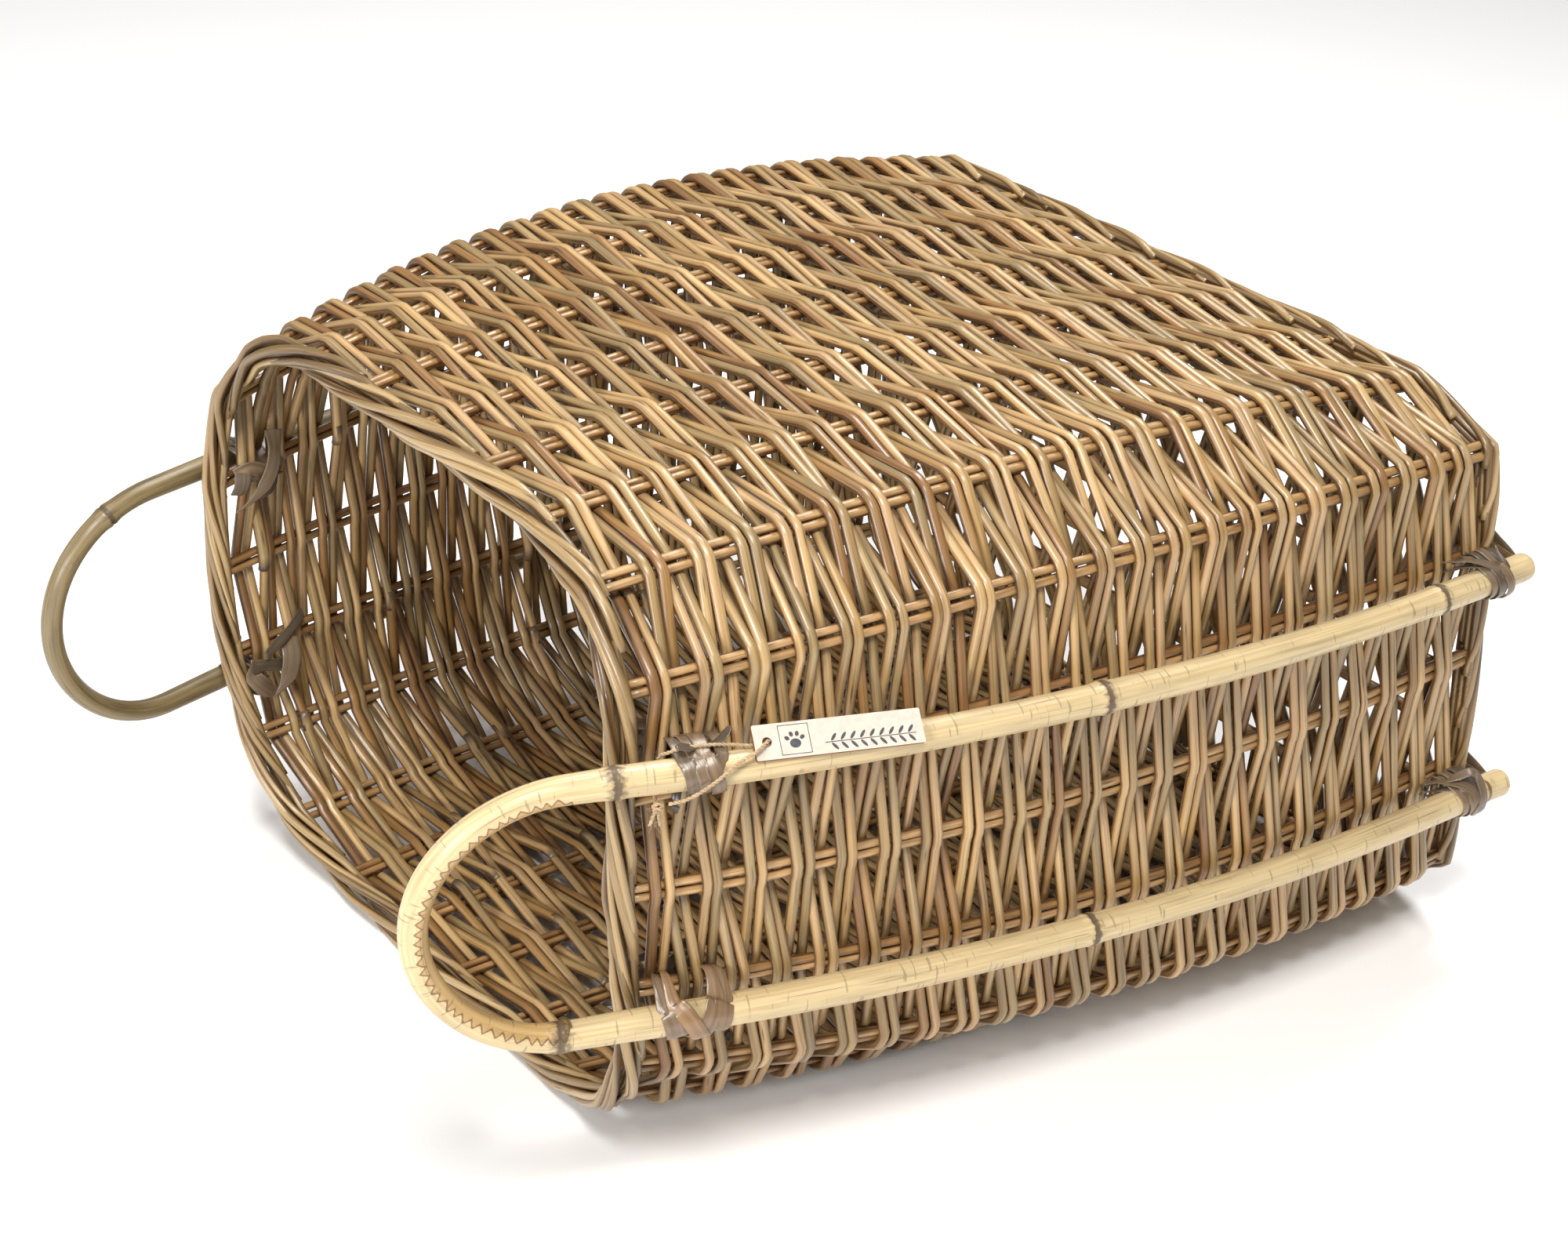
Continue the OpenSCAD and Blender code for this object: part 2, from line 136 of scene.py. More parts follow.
# ---- The basket's surface ----
#
# t runs along the body from 0 at the mouth to 1 at the base, and z here is the height from the waist.


def half_width(t):
    return mix(MOUTH_W, BASE_W, t) / 2 + BELLY * 4 * t * (1 - t)


def half_up(t):
    return mix(MOUTH_H, BASE_H, t) - WAIST_Z + CROWN * 4 * t * (1 - t)


def squareness(t):
    return mix(MOUTH_SQUARE, BASE_SQUARE, t)


def wall_y(t, z):
    height = np.where(z > 0, half_up(t), WAIST_Z)
    lean = z * mix(math.tan(MOUTH_LEAN), math.tan(BASE_LEAN), t)
    return mix(-HALF_LEN, HALF_LEN, t) + (1 - t) * RIM_SETBACK * (z / height) ** 2 - lean + SHIFT_Y


def side_x(t, z):
    height = half_up(t) if z > 0 else WAIST_Z
    n = squareness(t)
    return half_width(t) * (1 - min(abs(z) / height, 0.99) ** n) ** (1 / n)


QUARTER_STEPS = 32


def quarter(a, b, n, parts):
    """A quarter of a superellipse from the side to the top, cut into parts of equal length."""
    f = np.linspace(0, math.pi / 2, QUARTER_STEPS + 1)
    p = np.stack([a * np.abs(np.cos(f)) ** (2 / n), b * np.abs(np.sin(f)) ** (2 / n)], 1)
    run = run_along(p)
    return read_off(np.linspace(0, run[-1], parts + 1), run, p)


class Station:
    """The wall's outline at one distance t along the body: each stake's point and outward direction."""

    def __init__(self, t):
        parts = PAIRS // 4
        up = quarter(half_width(t), half_up(t), squareness(t), parts)
        low = quarter(half_width(t), WAIST_Z, squareness(t), parts)
        quarters = up[:-1], (up * (-1, 1))[:0:-1], -low[:-1], (low * (1, -1))[:0:-1]
        p = np.concatenate(quarters)
        on_floor = p[:, 1] < REST_SETTLE - WAIST_Z
        p[on_floor, 1] = -WAIST_Z
        along = unit(np.roll(p, -1, 0) - np.roll(p, 1, 0))
        self.out = np.stack([along[:, 1], -along[:, 0]], 1)
        self.out[on_floor] = (0, -1)
        self.at = p
        self.y = wall_y(t, p[:, 1])

    def point(self, k, depth, across=0.0):
        """Near stake k: depth is outward from the outside of the weave, across is on along the outline."""
        k = k % PAIRS
        out = self.out[k]
        x, z = self.at[k] + depth * out + across * np.array([-out[1], out[0]])
        return np.array([x, self.y[k], z + WAIST_Z])

    def outward(self, k):
        out = self.out[k % PAIRS]
        return np.array([out[0], 0, out[1]])

    def between(self, k, depth, rounding=0.0):
        """The point and outward direction at a stake number k that need not be whole.

        rounding is 0 for straight lines from stake to stake, and 1 for a smooth curve.
        """
        k0 = math.floor(k)
        f = k - k0
        a, b, c, d = (self.point(k0 + i, depth) for i in (-1, 0, 1, 2))
        point = mix(mix(b, c, f), catmull_rom(a, b, c, d, f), rounding)
        return point, unit(mix(self.outward(k0), self.outward(k0 + 1), f))


STAKE_LINE = -WALL_T / 2


# ---- Sweeping rods and strips ----


def carried(path, start):
    """Directions square to a path, carried along it without a twist."""
    way = unit(np.gradient(path, axis=0))
    outs, out = [], np.asarray(start, float)
    for w in way:
        out = unit(out - out.dot(w) * w)
        outs.append(out)
    return np.array(outs)


class Bundle:
    """Many swept rods gathered into one mesh, with each rod's own grain and tone as attributes."""

    def __init__(self):
        self.points, self.faces, self.caps = [], [], []
        self.grain, self.tone, self.mark = [], [], []
        self.count = 0

    def rod(self, path, outs, thick, wide=None, sides=8, tone=None, mark=None, closed=False, square=1.0):
        """A rod along path. outs are its outward directions, thick and wide its half sizes there.

        square is 1 for a round or oval section, and less for a flatter one with fuller edges.
        """
        path, outs = np.asarray(path, float), np.asarray(outs, float)
        n = len(path)
        thick = np.broadcast_to(np.asarray(thick, float), n)
        wide = thick if wide is None else np.broadcast_to(np.asarray(wide, float), n)
        if closed:
            way = unit(np.roll(path, -1, 0) - np.roll(path, 1, 0))
        else:
            way = unit(np.gradient(path, axis=0))
        e1 = unit(outs - (outs * way).sum(1, keepdims=True) * way)
        e2 = np.cross(e1, way)
        f = all_round(sides)
        c, s = (np.sign(v) * np.abs(v) ** square for v in (np.cos(f), np.sin(f)))
        ring = (
            path[:, None]
            + thick[:, None, None] * c[None, :, None] * e1[:, None]
            + wide[:, None, None] * s[None, :, None] * e2[:, None]
        )
        ring[..., 2] = np.maximum(ring[..., 2], 0.0)
        tone = rng.random() if tone is None else tone
        # The tone also shifts the grain, so that no two rods show the same streaks.
        grain = np.empty((n, sides, 3))
        grain[..., 0] = run_along(path)[:, None] + tone * 7.0
        grain[..., 1] = thick[:, None] * c
        grain[..., 2] = wide[:, None] * s + tone * 3.0
        base = self.count
        i = np.arange(n if closed else n - 1)[:, None]
        j = np.arange(sides)[None]
        a, b = i * sides + j, i * sides + (j + 1) % sides
        up = ((i + 1) % n) * sides - i * sides
        self.faces.append((base + np.stack([a, b, b + up, a + up], -1)).reshape(-1, 4))
        self.points.append(ring.reshape(-1, 3))
        self.grain.append(grain.reshape(-1, 3))
        self.tone.append(np.full(n * sides, tone))
        self.mark.append(np.repeat(np.zeros(n) if mark is None else mark, sides))
        if not closed:
            self.caps.append(base + np.arange(sides)[::-1])
            self.caps.append(base + (n - 1) * sides + np.arange(sides))
        self.count += n * sides

    def build(self, name, material):
        quads = np.concatenate(self.faces)
        cap_ends = np.concatenate(self.caps) if self.caps else np.zeros(0, int)
        cap_sizes = np.array([len(c) for c in self.caps], int)
        sizes = np.concatenate([np.full(len(quads), 4), cap_sizes])
        mesh = bpy.data.meshes.new(name)
        points = np.concatenate(self.points)
        mesh.vertices.add(len(points))
        mesh.vertices.foreach_set("co", points.ravel())
        corners = np.concatenate([quads.ravel(), cap_ends]).astype(np.int32)
        mesh.loops.add(len(corners))
        mesh.loops.foreach_set("vertex_index", corners)
        mesh.polygons.add(len(sizes))
        starts = np.concatenate([[0], np.cumsum(sizes)[:-1]]).astype(np.int32)
        mesh.polygons.foreach_set("loop_start", starts)
        smooth = np.zeros(len(sizes), bool)
        smooth[: len(quads)] = True
        mesh.polygons.foreach_set("use_smooth", smooth)
        for label, kind, values, key in (
            ("grain", "FLOAT_VECTOR", self.grain, "vector"),
            ("tone", "FLOAT", self.tone, "value"),
            ("mark", "FLOAT", self.mark, "value"),
        ):
            layer = mesh.attributes.new(label, kind, "POINT")
            layer.data.foreach_set(key, np.concatenate(values).ravel())
        mesh.update(calc_edges=True)
        mesh.validate()
        return show(name, mesh, material)


def show(name, mesh, material):
    piece = bpy.data.objects.new(name, mesh)
    bpy.context.scene.collection.objects.link(piece)
    mesh.materials.append(material)
    return piece


def stand_for(piece, slot, *nodes, body="basket"):
    """Rides a piece on its body and hides the plain solids it stands for. slot is not used."""
    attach(piece, body)
    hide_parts(*nodes)


# ---- Materials ----


def feed(tree, node, sockets):
    """Sets a node's inputs. sockets maps an input's name or number to a value or to another node's output."""
    for key, value in sockets.items():
        if isinstance(value, bpy.types.NodeSocket):
            tree.links.new(value, node.inputs[key])
        else:
            node.inputs[key].default_value = value


def add(tree, kind, sockets=None, **settings):
    """Adds a shader node with its settings and inputs."""
    node = tree.nodes.new(kind)
    for key, value in settings.items():
        setattr(node, key, value)
    feed(tree, node, sockets or {})
    return node


def maths(tree, what, a, b=0.0, clamp=False):
    return add(tree, "ShaderNodeMath", {0: a, 1: b}, operation=what, use_clamp=clamp).outputs[0]


def blend_colour(tree, factor, a, b, how="MIX"):
    # Inputs 6 and 7 and output 2 are the Mix node's colours.
    sockets = {0: factor, 6: a, 7: b}
    return add(tree, "ShaderNodeMix", sockets, data_type="RGBA", blend_type=how, clamp_factor=True).outputs[2]


def tinted(tree, colour, tint):
    return blend_colour(tree, 1.0, colour, tint, "MULTIPLY")


def noise(tree, at, detail, scale=1.0, roughness=0.5):
    sockets = {"Vector": at, "Scale": scale, "Detail": detail, "Roughness": roughness}
    return add(tree, "ShaderNodeTexNoise", sockets).outputs["Fac"]


def spread(tree, value, low, high, low_to=0.0, high_to=1.0):
    """A value between low and high, stretched to run from low_to to high_to."""
    sockets = {"Value": value, "From Min": low, "From Max": high, "To Min": low_to, "To Max": high_to}
    return add(tree, "ShaderNodeMapRange", sockets).outputs[0]


def ramp(tree, factor, stops):
    node = add(tree, "ShaderNodeValToRGB", {"Fac": factor})
    while len(node.color_ramp.elements) > 1:
        node.color_ramp.elements.remove(node.color_ramp.elements[0])
    for i, (place, colour) in enumerate(stops):
        stop = node.color_ramp.elements[0] if i == 0 else node.color_ramp.elements.new(place)
        stop.position = place
        stop.color = (*colour, 1)
    return node.outputs["Color"]


def new_group(name, inputs, outputs):
    """A shader node group with named inputs (name, default) and outputs (name, kind)."""
    tree = bpy.data.node_groups.new(name, "ShaderNodeTree")
    for label, default in inputs:
        socket = tree.interface.new_socket(label, in_out="INPUT", socket_type="NodeSocketFloat")
        socket.default_value = default
    for label, kind in outputs:
        tree.interface.new_socket(label, in_out="OUTPUT", socket_type=kind)
    return tree, tree.nodes.new("NodeGroupInput"), tree.nodes.new("NodeGroupOutput")


def placed(tree, group, **values):
    """One use of a group in a material, with its own values."""
    node = tree.nodes.new("ShaderNodeGroup")
    node.node_tree = group
    for key, value in values.items():
        node.inputs[key.replace("_", " ").capitalize()].default_value = value
    return node


def rod_value(tree, name):
    """A value that the rods' points hold: tone, mark or bend."""
    return add(tree, "ShaderNodeAttribute", attribute_name=name).outputs["Fac"]


def rod_place(tree):
    """Where a point is on its rod: along it, outward and across."""
    return add(tree, "ShaderNodeAttribute", attribute_name="grain").outputs["Vector"]


def grain_space(tree, along, across):
    """The place on the rod, stretched so that noise runs as streaks along it."""
    scale = add(tree, "ShaderNodeCombineXYZ", {0: along, 1: across, 2: across}).outputs[0]
    return add(tree, "ShaderNodeVectorMath", {0: rod_place(tree), 1: scale}, operation="MULTIPLY").outputs[0]


def fibre_group():
    """Long streaks of fibre along a rod, blotches of tone, and the height that goes with them."""
    tree, inputs, outputs = new_group(
        "fibre_streaks",
        [("Along", 18.0), ("Across", 900.0), ("Blotches along", 14.0)],
        [("Streaks", "NodeSocketFloat"), ("Blotches", "NodeSocketFloat"), ("Height", "NodeSocketFloat")],
    )
    along, across, blotches_along = (inputs.outputs[i] for i in range(3))
    fine = noise(tree, grain_space(tree, along, across), 4.0, roughness=0.62)
    blotches_across = maths(tree, "MULTIPLY", blotches_along, 9.0)
    blotch = noise(tree, grain_space(tree, blotches_along, blotches_across), 3.0)
    height = maths(tree, "ADD", maths(tree, "MULTIPLY", fine, 0.8), maths(tree, "MULTIPLY", blotch, 0.3))
    feed(tree, outputs, {"Streaks": fine, "Blotches": blotch, "Height": height})
    return tree


def scar_group():
    """Bud scars: small dark ovals, set here and there along a rod."""
    tree, inputs, outputs = new_group(
        "bud_scars", [("Along", 26.0), ("Size", 0.12)], [("Mask", "NodeSocketFloat")]
    )
    along, size = inputs.outputs[0], inputs.outputs[1]
    at = grain_space(tree, along, 260.0)
    spot = add(tree, "ShaderNodeTexVoronoi", {"Vector": at, "Scale": 1.0}).outputs["Distance"]
    edge = maths(tree, "DIVIDE", maths(tree, "SUBTRACT", size, spot), size, clamp=True)
    feed(tree, outputs, {"Mask": maths(tree, "MULTIPLY", edge, 1.6, clamp=True)})
    return tree


FIBRES = fibre_group()
SCARS = scar_group()


def new_material(name):
    material = bpy.data.materials.new(name)
    material.use_nodes = True
    tree = material.node_tree
    shader = tree.nodes["Principled BSDF"]
    return material, tree, shader


def bump(tree, shader, height, strength, distance):
    node = add(tree, "ShaderNodeBump", {"Height": height, "Strength": strength, "Distance": distance})
    feed(tree, shader, {"Normal": node.outputs["Normal"]})


SCAR_BROWN = (0.045, 0.03, 0.02, 1)
CUT_END_BROWN = (0.05, 0.035, 0.025, 1)


def willow(name, tones):
    """Steamed willow with its skin on: one tone for each rod, streaked, blotched, scarred and satin."""
    material, tree, shader = new_material(name)
    fibres = placed(tree, FIBRES, along=16.0, across=850.0, blotches_along=11.0)
    scars = placed(tree, SCARS, along=24.0, size=0.16)
    shift = maths(tree, "MULTIPLY", maths(tree, "SUBTRACT", fibres.outputs["Blotches"], 0.5), 0.55)
    colour = ramp(tree, maths(tree, "ADD", rod_value(tree, "tone"), shift), tones)
    streaks = [(0.22, (0.36,) * 3), (0.5, (0.98,) * 3), (0.8, (1.32,) * 3)]
    colour = tinted(tree, colour, ramp(tree, fibres.outputs["Streaks"], streaks))
    # Painted shade: the colour is darker along a rod's two sides, where it lies against its neighbours.
    outward = add(tree, "ShaderNodeSeparateXYZ", {0: rod_place(tree)}).outputs[1]
    crown = spread(tree, maths(tree, "ABSOLUTE", outward), 0.0001, 0.0019)
    crevice_shade = [(0.0, (0.24, 0.155, 0.09)), (0.42, (0.70, 0.61, 0.50)), (1.0, (1.0,) * 3)]
    colour = tinted(tree, colour, ramp(tree, crown, crevice_shade))
    colour = blend_colour(tree, maths(tree, "MULTIPLY", scars.outputs["Mask"], 0.75), colour, SCAR_BROWN)
    colour = blend_colour(tree, maths(tree, "MULTIPLY", rod_value(tree, "mark"), 0.7), colour, CUT_END_BROWN)
    feed(tree, shader, {
        "Base Color": colour,
        "Roughness": spread(tree, fibres.outputs["Streaks"], 0.3, 0.7, 0.46, 0.28),
        "Specular IOR Level": 0.6,
        "Coat Weight": 0.28,
        "Coat Roughness": 0.2,
    })
    bump(tree, shader, fibres.outputs["Height"], 0.5, 0.0006)
    return material


WEAVER_TONES = [
    (0.0, (0.22, 0.110, 0.036)),
    (0.15, (0.32, 0.178, 0.060)),
    (0.30, (0.27, 0.190, 0.086)),
    (0.45, (0.40, 0.245, 0.092)),
    (0.60, (0.33, 0.235, 0.108)),
    (0.75, (0.44, 0.280, 0.135)),
    (0.90, (0.52, 0.345, 0.150)),
    (1.0, (0.38, 0.262, 0.128)),
]
STAKE_TONES = [
    (0.0, (0.28, 0.145, 0.052)),
    (0.5, (0.42, 0.250, 0.100)),
    (1.0, (0.52, 0.330, 0.155)),
]
BORDER_TONES = [
    (0.0, (0.17, 0.105, 0.040)),
    (0.35, (0.29, 0.190, 0.080)),
    (0.7, (0.38, 0.260, 0.118)),
    (1.0, (0.46, 0.325, 0.160)),
]


def cane(name, pale, mid, dark, mottle, cracks):
    """Cane with smudged dark rings at its nodes, fine cross cracks, and notches inside the bend."""
    material, tree, shader = new_material(name)
    fibres = placed(tree, FIBRES, along=7.0, across=620.0, blotches_along=26.0)
    colour = ramp(tree, fibres.outputs["Streaks"], [(0.34, mid), (0.58, pale)])
    spots = ramp(tree, fibres.outputs["Blotches"], [(0.44, (1.0,) * 3), (0.70, (1 - mottle,) * 3)])
    colour = tinted(tree, colour, spots)
    jag = maths(tree, "SUBTRACT", noise(tree, grain_space(tree, 260.0, 420.0), 5.0), 0.5)
    ragged = maths(tree, "ADD", rod_value(tree, "mark"), maths(tree, "MULTIPLY", jag, 1.5))
    ring = spread(tree, ragged, 0.34, 0.85)
    # Short hairline cracks across the cane, in some stretches only, and thin dark lines along it.
    crack = spread(tree, noise(tree, grain_space(tree, 820.0, 90.0), 0.0), 0.73, 0.77)
    line = spread(tree, noise(tree, grain_space(tree, 16.0, 1100.0), 2.0), 0.64, 0.74)
    marks = maths(tree, "MAXIMUM", maths(tree, "MULTIPLY", ring, 0.9), maths(tree, "MULTIPLY", crack, cracks))
    marks = maths(tree, "MAXIMUM", marks, maths(tree, "MULTIPLY", line, 0.5))
    # Inside the loop the skin is pared to a row of teeth, with a dark line along their edge.
    bend = rod_value(tree, "bend")
    pared = [
        (0.25, (1.0,) * 3),
        (0.40, (0.36, 0.26, 0.17)),
        (0.62, (0.40, 0.29, 0.19)),
        (0.80, (0.80, 0.68, 0.52)),
    ]
    colour = blend_colour(tree, marks, tinted(tree, colour, ramp(tree, bend, pared)), (*dark, 1))
    feed(tree, shader, {
        "Base Color": colour,
        "Roughness": maths(tree, "ADD", maths(tree, "MULTIPLY", marks, 0.3), 0.36),
        "Coat Weight": 0.15,
        "Coat Roughness": 0.25,
    })
    height = maths(tree, "SUBTRACT", fibres.outputs["Height"], maths(tree, "MULTIPLY", marks, 0.8))
    height = maths(tree, "SUBTRACT", height, maths(tree, "MULTIPLY", bend, 0.4))
    bump(tree, shader, height, 0.4, 0.0008)
    return material


def lashing_skin(name):
    """Split dark willow skin, half glossy and with long fibres."""
    material, tree, shader = new_material(name)
    fibres = placed(tree, FIBRES, along=7.0, across=480.0, blotches_along=30.0)
    browns = [
        (0.0, (0.060, 0.044, 0.028)),
        (0.35, (0.145, 0.108, 0.072)),
        (0.6, (0.19, 0.130, 0.080)),
        (1.0, (0.23, 0.135, 0.066)),
    ]
    streaks = [(0.3, (0.62,) * 3), (0.55, (1.0,) * 3), (0.75, (1.35, 1.3, 1.2))]
    colour = ramp(tree, rod_value(tree, "tone"), browns)
    colour = tinted(tree, colour, ramp(tree, fibres.outputs["Streaks"], streaks))
    feed(tree, shader, {"Base Color": colour, "Roughness": 0.32, "Specular IOR Level": 0.7})
    bump(tree, shader, fibres.outputs["Height"], 0.6, 0.0006)
    return material


def jute_twine(name):
    """Matt, hairy jute."""
    material, tree, shader = new_material(name)
    fibres = placed(tree, FIBRES, along=120.0, across=2600.0, blotches_along=60.0)
    colour = ramp(tree, fibres.outputs["Streaks"], [(0.3, (0.26, 0.165, 0.075)), (0.7, (0.62, 0.45, 0.26))])
    feed(tree, shader, {"Base Color": colour, "Roughness": 0.9, "Sheen Weight": 0.3})
    bump(tree, shader, fibres.outputs["Height"], 0.8, 0.0004)
    return material


def plain_board(name, dark, light, rough, scale):
    """A thin board's face, cut edge or print, faintly mottled."""
    material, tree, shader = new_material(name)
    fleck = noise(tree, add(tree, "ShaderNodeTexCoord").outputs["Object"], 4.0, scale)
    feed(tree, shader, {"Base Color": ramp(tree, fleck, [(0.35, dark), (0.7, light)]), "Roughness": rough})
    bump(tree, shader, fleck, 0.15, 0.0002)
    return material


WILLOW_WEAVE = willow("willow_weave", WEAVER_TONES)
WILLOW_STAKE = willow("willow_stake", STAKE_TONES)
WILLOW_BORDER = willow("willow_border", BORDER_TONES)
PALE_CANE = cane(
    "pale_cane", (0.64, 0.505, 0.285), (0.52, 0.385, 0.195), (0.075, 0.045, 0.025), mottle=0.2, cracks=0.4
)
OLIVE_CANE = cane(
    "olive_cane", (0.25, 0.187, 0.092), (0.14, 0.10, 0.045), (0.07, 0.05, 0.025), mottle=0.45, cracks=0.1
)
LASHING = lashing_skin("lashing_strip")
JUTE = jute_twine("jute")
TAG_FACE = plain_board("tag_face", (0.56, 0.49, 0.41), (0.64, 0.57, 0.48), rough=0.5, scale=300.0)
TAG_EDGE = plain_board("tag_edge", (0.16, 0.06, 0.03), (0.30, 0.13, 0.07), rough=0.7, scale=900.0)
TAG_INK = plain_board("tag_ink", (0.05, 0.05, 0.06), (0.08, 0.08, 0.09), rough=0.5, scale=600.0)


# ---- Side stakes ----

STAKE_STEPS = 70
STAKE_TS = np.linspace(RIM_END * 0.55, 1 - 0.4 * (1 - FOOT_START), STAKE_STEPS)
STAKE_STATIONS = [Station(t) for t in STAKE_TS]


def make_stake_pair(k):
    bundle = Bundle()
    for side in (-1, 1):
        sway, lift = slow_noise(STAKE_STEPS, 9, 0.0005), slow_noise(STAKE_STEPS, 9, 0.0003)
        across = side * (STAKE_D + PLAY) / 2 + sway
        path = [s.point(k, STAKE_LINE + lift[i], across[i]) for i, s in enumerate(STAKE_STATIONS)]
        outs = [s.outward(k) for s in STAKE_STATIONS]
        butt = STAKE_D / 2 * rng.uniform(0.98, 1.08)
        tip = STAKE_D / 2 * rng.uniform(0.82, 0.92)
        bundle.rod(path, outs, np.linspace(tip, butt, STAKE_STEPS))
    stand_for(bundle.build(f"stake_rods_{k + 1}", WILLOW_STAKE), "willow_stake", f"stake_pair_{k + 1}")


# ---- Weavers ----

FIRST_T, LAST_T = RIM_END, FOOT_START
ROWS = round((LAST_T - FIRST_T) * BODY_LEN / ROW_PITCH)
ROW_TS = FIRST_T + (np.arange(ROWS) + 0.5) / ROWS * (LAST_T - FIRST_T)
WEAVE_LIFT = (STAKE_D + WEAVER_D) / 2
HOLD_W = STAKE_D + PLAY
# How a weaver lies over a pair of stakes: places along the outline, and shares of its full lift.
OVER_PAIR = ((-HOLD_W, 0.86), (-HOLD_W * 0.45, 1.02), (HOLD_W * 0.45, 1.02), (HOLD_W, 0.86))
END_TUCK = WEAVER_D * 0.95
WEAVER_WANDER, WEAVER_JITTER = 0.00045, 0.00025


def weaver_path(t, row, first, last, drift):
    """One rod from stake first to stake last: over a pair, straight across, and under the next."""
    path, outs = [], []
    for k in range(first, last + 1):
        over = 1 if (k + row) % 2 == 0 else -1
        station = Station(t + drift[k - first] / BODY_LEN)
        depth, out = (STAKE_LINE - END_TUCK if k in (first, last) else STAKE_LINE), station.outward(k)
        held = [station.point(k, depth + over * WEAVE_LIFT * share, across) for across, share in OVER_PAIR]
        if path:
            # Two more points in each bay let the rod bow a little between the stakes.
            left, left_out = path[-1], outs[-1]
            for f in (1 / 3, 2 / 3):
                path.append(mix(left, held[0], f))
                outs.append(unit(mix(left_out, out, f)))
        path += held
        outs += [out] * len(held)
    return np.array(path), np.array(outs)


def add_weaver_ring(bundle, t, row, rod):
    """Lays one rod of a row's pair all the way round, as two lengths whose ends are tucked inside."""
    start = int(rng.integers(0, PAIRS // 2)) * 2 + (row + 1) % 2
    middle = start + 2 * int(rng.integers(4, 9))
    side = (rod - 0.5) * (WEAVER_D * FLAT + PLAY)
    for first, last in ((start, middle), (middle, start + PAIRS)):
        drift = side + rng.normal(0, WEAVER_WANDER, last - first + 1)
        path, outs = weaver_path(t, row, first, last, drift)
        path = path + slow_noise(len(path), 5, WEAVER_JITTER)[:, None] * outs
        butt, tip = WEAVER_D / 2 * rng.uniform(1.0, 1.1), WEAVER_D / 2 * rng.uniform(0.82, 0.95)
        # The two rods of a pair lie butt to tip.
        radius = np.linspace(butt, tip, len(path)) if rod else np.linspace(tip, butt, len(path))
        ends = np.zeros(len(path))
        ends[:2] = ends[-2:] = 1.0
        bundle.rod(path, outs, radius, radius * FLAT, sides=10, mark=ends)


def make_courses():
    ends = np.linspace(RIM_END, FOOT_START, COURSES + 1)
    for course in range(COURSES):
        bundle = Bundle()
        for row, t in enumerate(ROW_TS):
            if ends[course] <= t < ends[course + 1]:
                for rod in (0, 1):
                    add_weaver_ring(bundle, t, row, rod)
        name = f"weave_course_{course + 1}"
        stand_for(bundle.build(f"weavers_{course + 1}", WILLOW_WEAVE), "willow_weave", name)


# ---- Borders ----


def ease(u, width):
    """1 in the middle of 0 to 1, and down to 0 over width at each end."""
    f = min(1, u / width, (1 - u) / width)
    return f * f * (3 - 2 * f)


BORDER_STEPS = 44
BORDER_RODS = 2 * PAIRS
BORDER_ROD_R = 0.00225
BORDER_TURN = 0.35
MOST_SLACK = 0.0012


def make_border(name, node, t_back, t_edge, bays, bulge, rounding, looseness):
    """A rolled border: each rod leaves a stake, runs along the edge and rolls over it from outside to inside.

    A rod spans that many bays between stakes, and the roll stands out by bulge from the stakes' line.
    """
    bundle = Bundle()
    depth = abs(t_edge - t_back) * BODY_LEN
    middle = Station(mix(t_back, t_edge, 0.45))
    toward = math.copysign(1, t_edge - t_back)
    for i in range(BORDER_RODS):
        span = bays * rng.uniform(0.85, 1.2)
        start = i * PAIRS / BORDER_RODS + rng.uniform(-0.35, 0.35) * looseness
        turn_in, turn_out = BORDER_TURN * rng.uniform(0.2, 1.3, 2)
        proud = rng.normal(0, 0.0008)
        wander = slow_noise(BORDER_STEPS, 9, 0.0009 * looseness)
        path, outs = [], []
        for j, u in enumerate(np.linspace(0, 1, BORDER_STEPS)):
            angle = mix(-turn_in, math.pi + turn_out, u)
            centre, out = middle.between(start + u * span, STAKE_LINE, rounding)
            # Both ends dive into the weave.
            tuck = 0.45 + 0.55 * ease(u, 0.12)
            slack = min(proud + wander[j], MOST_SLACK)
            radial = (bulge + slack) * math.cos(angle) * tuck
            forward = (depth / 2 - BORDER_ROD_R + slack) * math.sin(angle) * toward
            path.append(centre + radial * out + np.array([0, forward, 0]))
            outs.append(unit(math.cos(angle) * out + np.array([0, math.sin(angle) * toward, 0])))
        thick = BORDER_ROD_R * rng.uniform(0.9, 1.15)
        ends = np.zeros(BORDER_STEPS)
        ends[-1] = 1
        bundle.rod(path, outs, np.linspace(thick * 1.08, thick * 0.85, BORDER_STEPS), mark=ends)
    # Three closed turns of weaver fill the border's core.
    for layer in (-1, 0, 1):
        depth_in = STAKE_LINE + layer * WEAVER_D * 0.85
        path, outs = zip(*(middle.between(k, depth_in, rounding) for k in np.arange(0, PAIRS, 0.5)))
        bundle.rod(path, outs, WEAVER_D / 2, closed=True)
    stand_for(bundle.build(name, WILLOW_BORDER), "willow_border", node)


# ---- Base ----

BASE_INSET = 0.004
BASE_T = 2 * WEAVER_D + STICK_D + 2 * PLAY
BASE_UP = np.array([0, -math.sin(BASE_LEAN), math.cos(BASE_LEAN)])
BASE_IN = np.array([0, -math.cos(BASE_LEAN), -math.sin(BASE_LEAN)])
BASE_AT = np.array([0, HALF_LEN - BASE_INSET + SHIFT_Y, WAIST_Z])
STICK_PITCH = (BASE_H - 2 * WALL_T) / (STICKS + 1)
STICK_YS = [(i - (STICKS + 1) / 2) * STICK_PITCH + BASE_H / 2 - WAIST_Z for i in range(1, STICKS + 1)]


BASE_CLEAR = 0.001
STICK_CLEAR = 0.003
COLUMN_CLEAR = 0.006
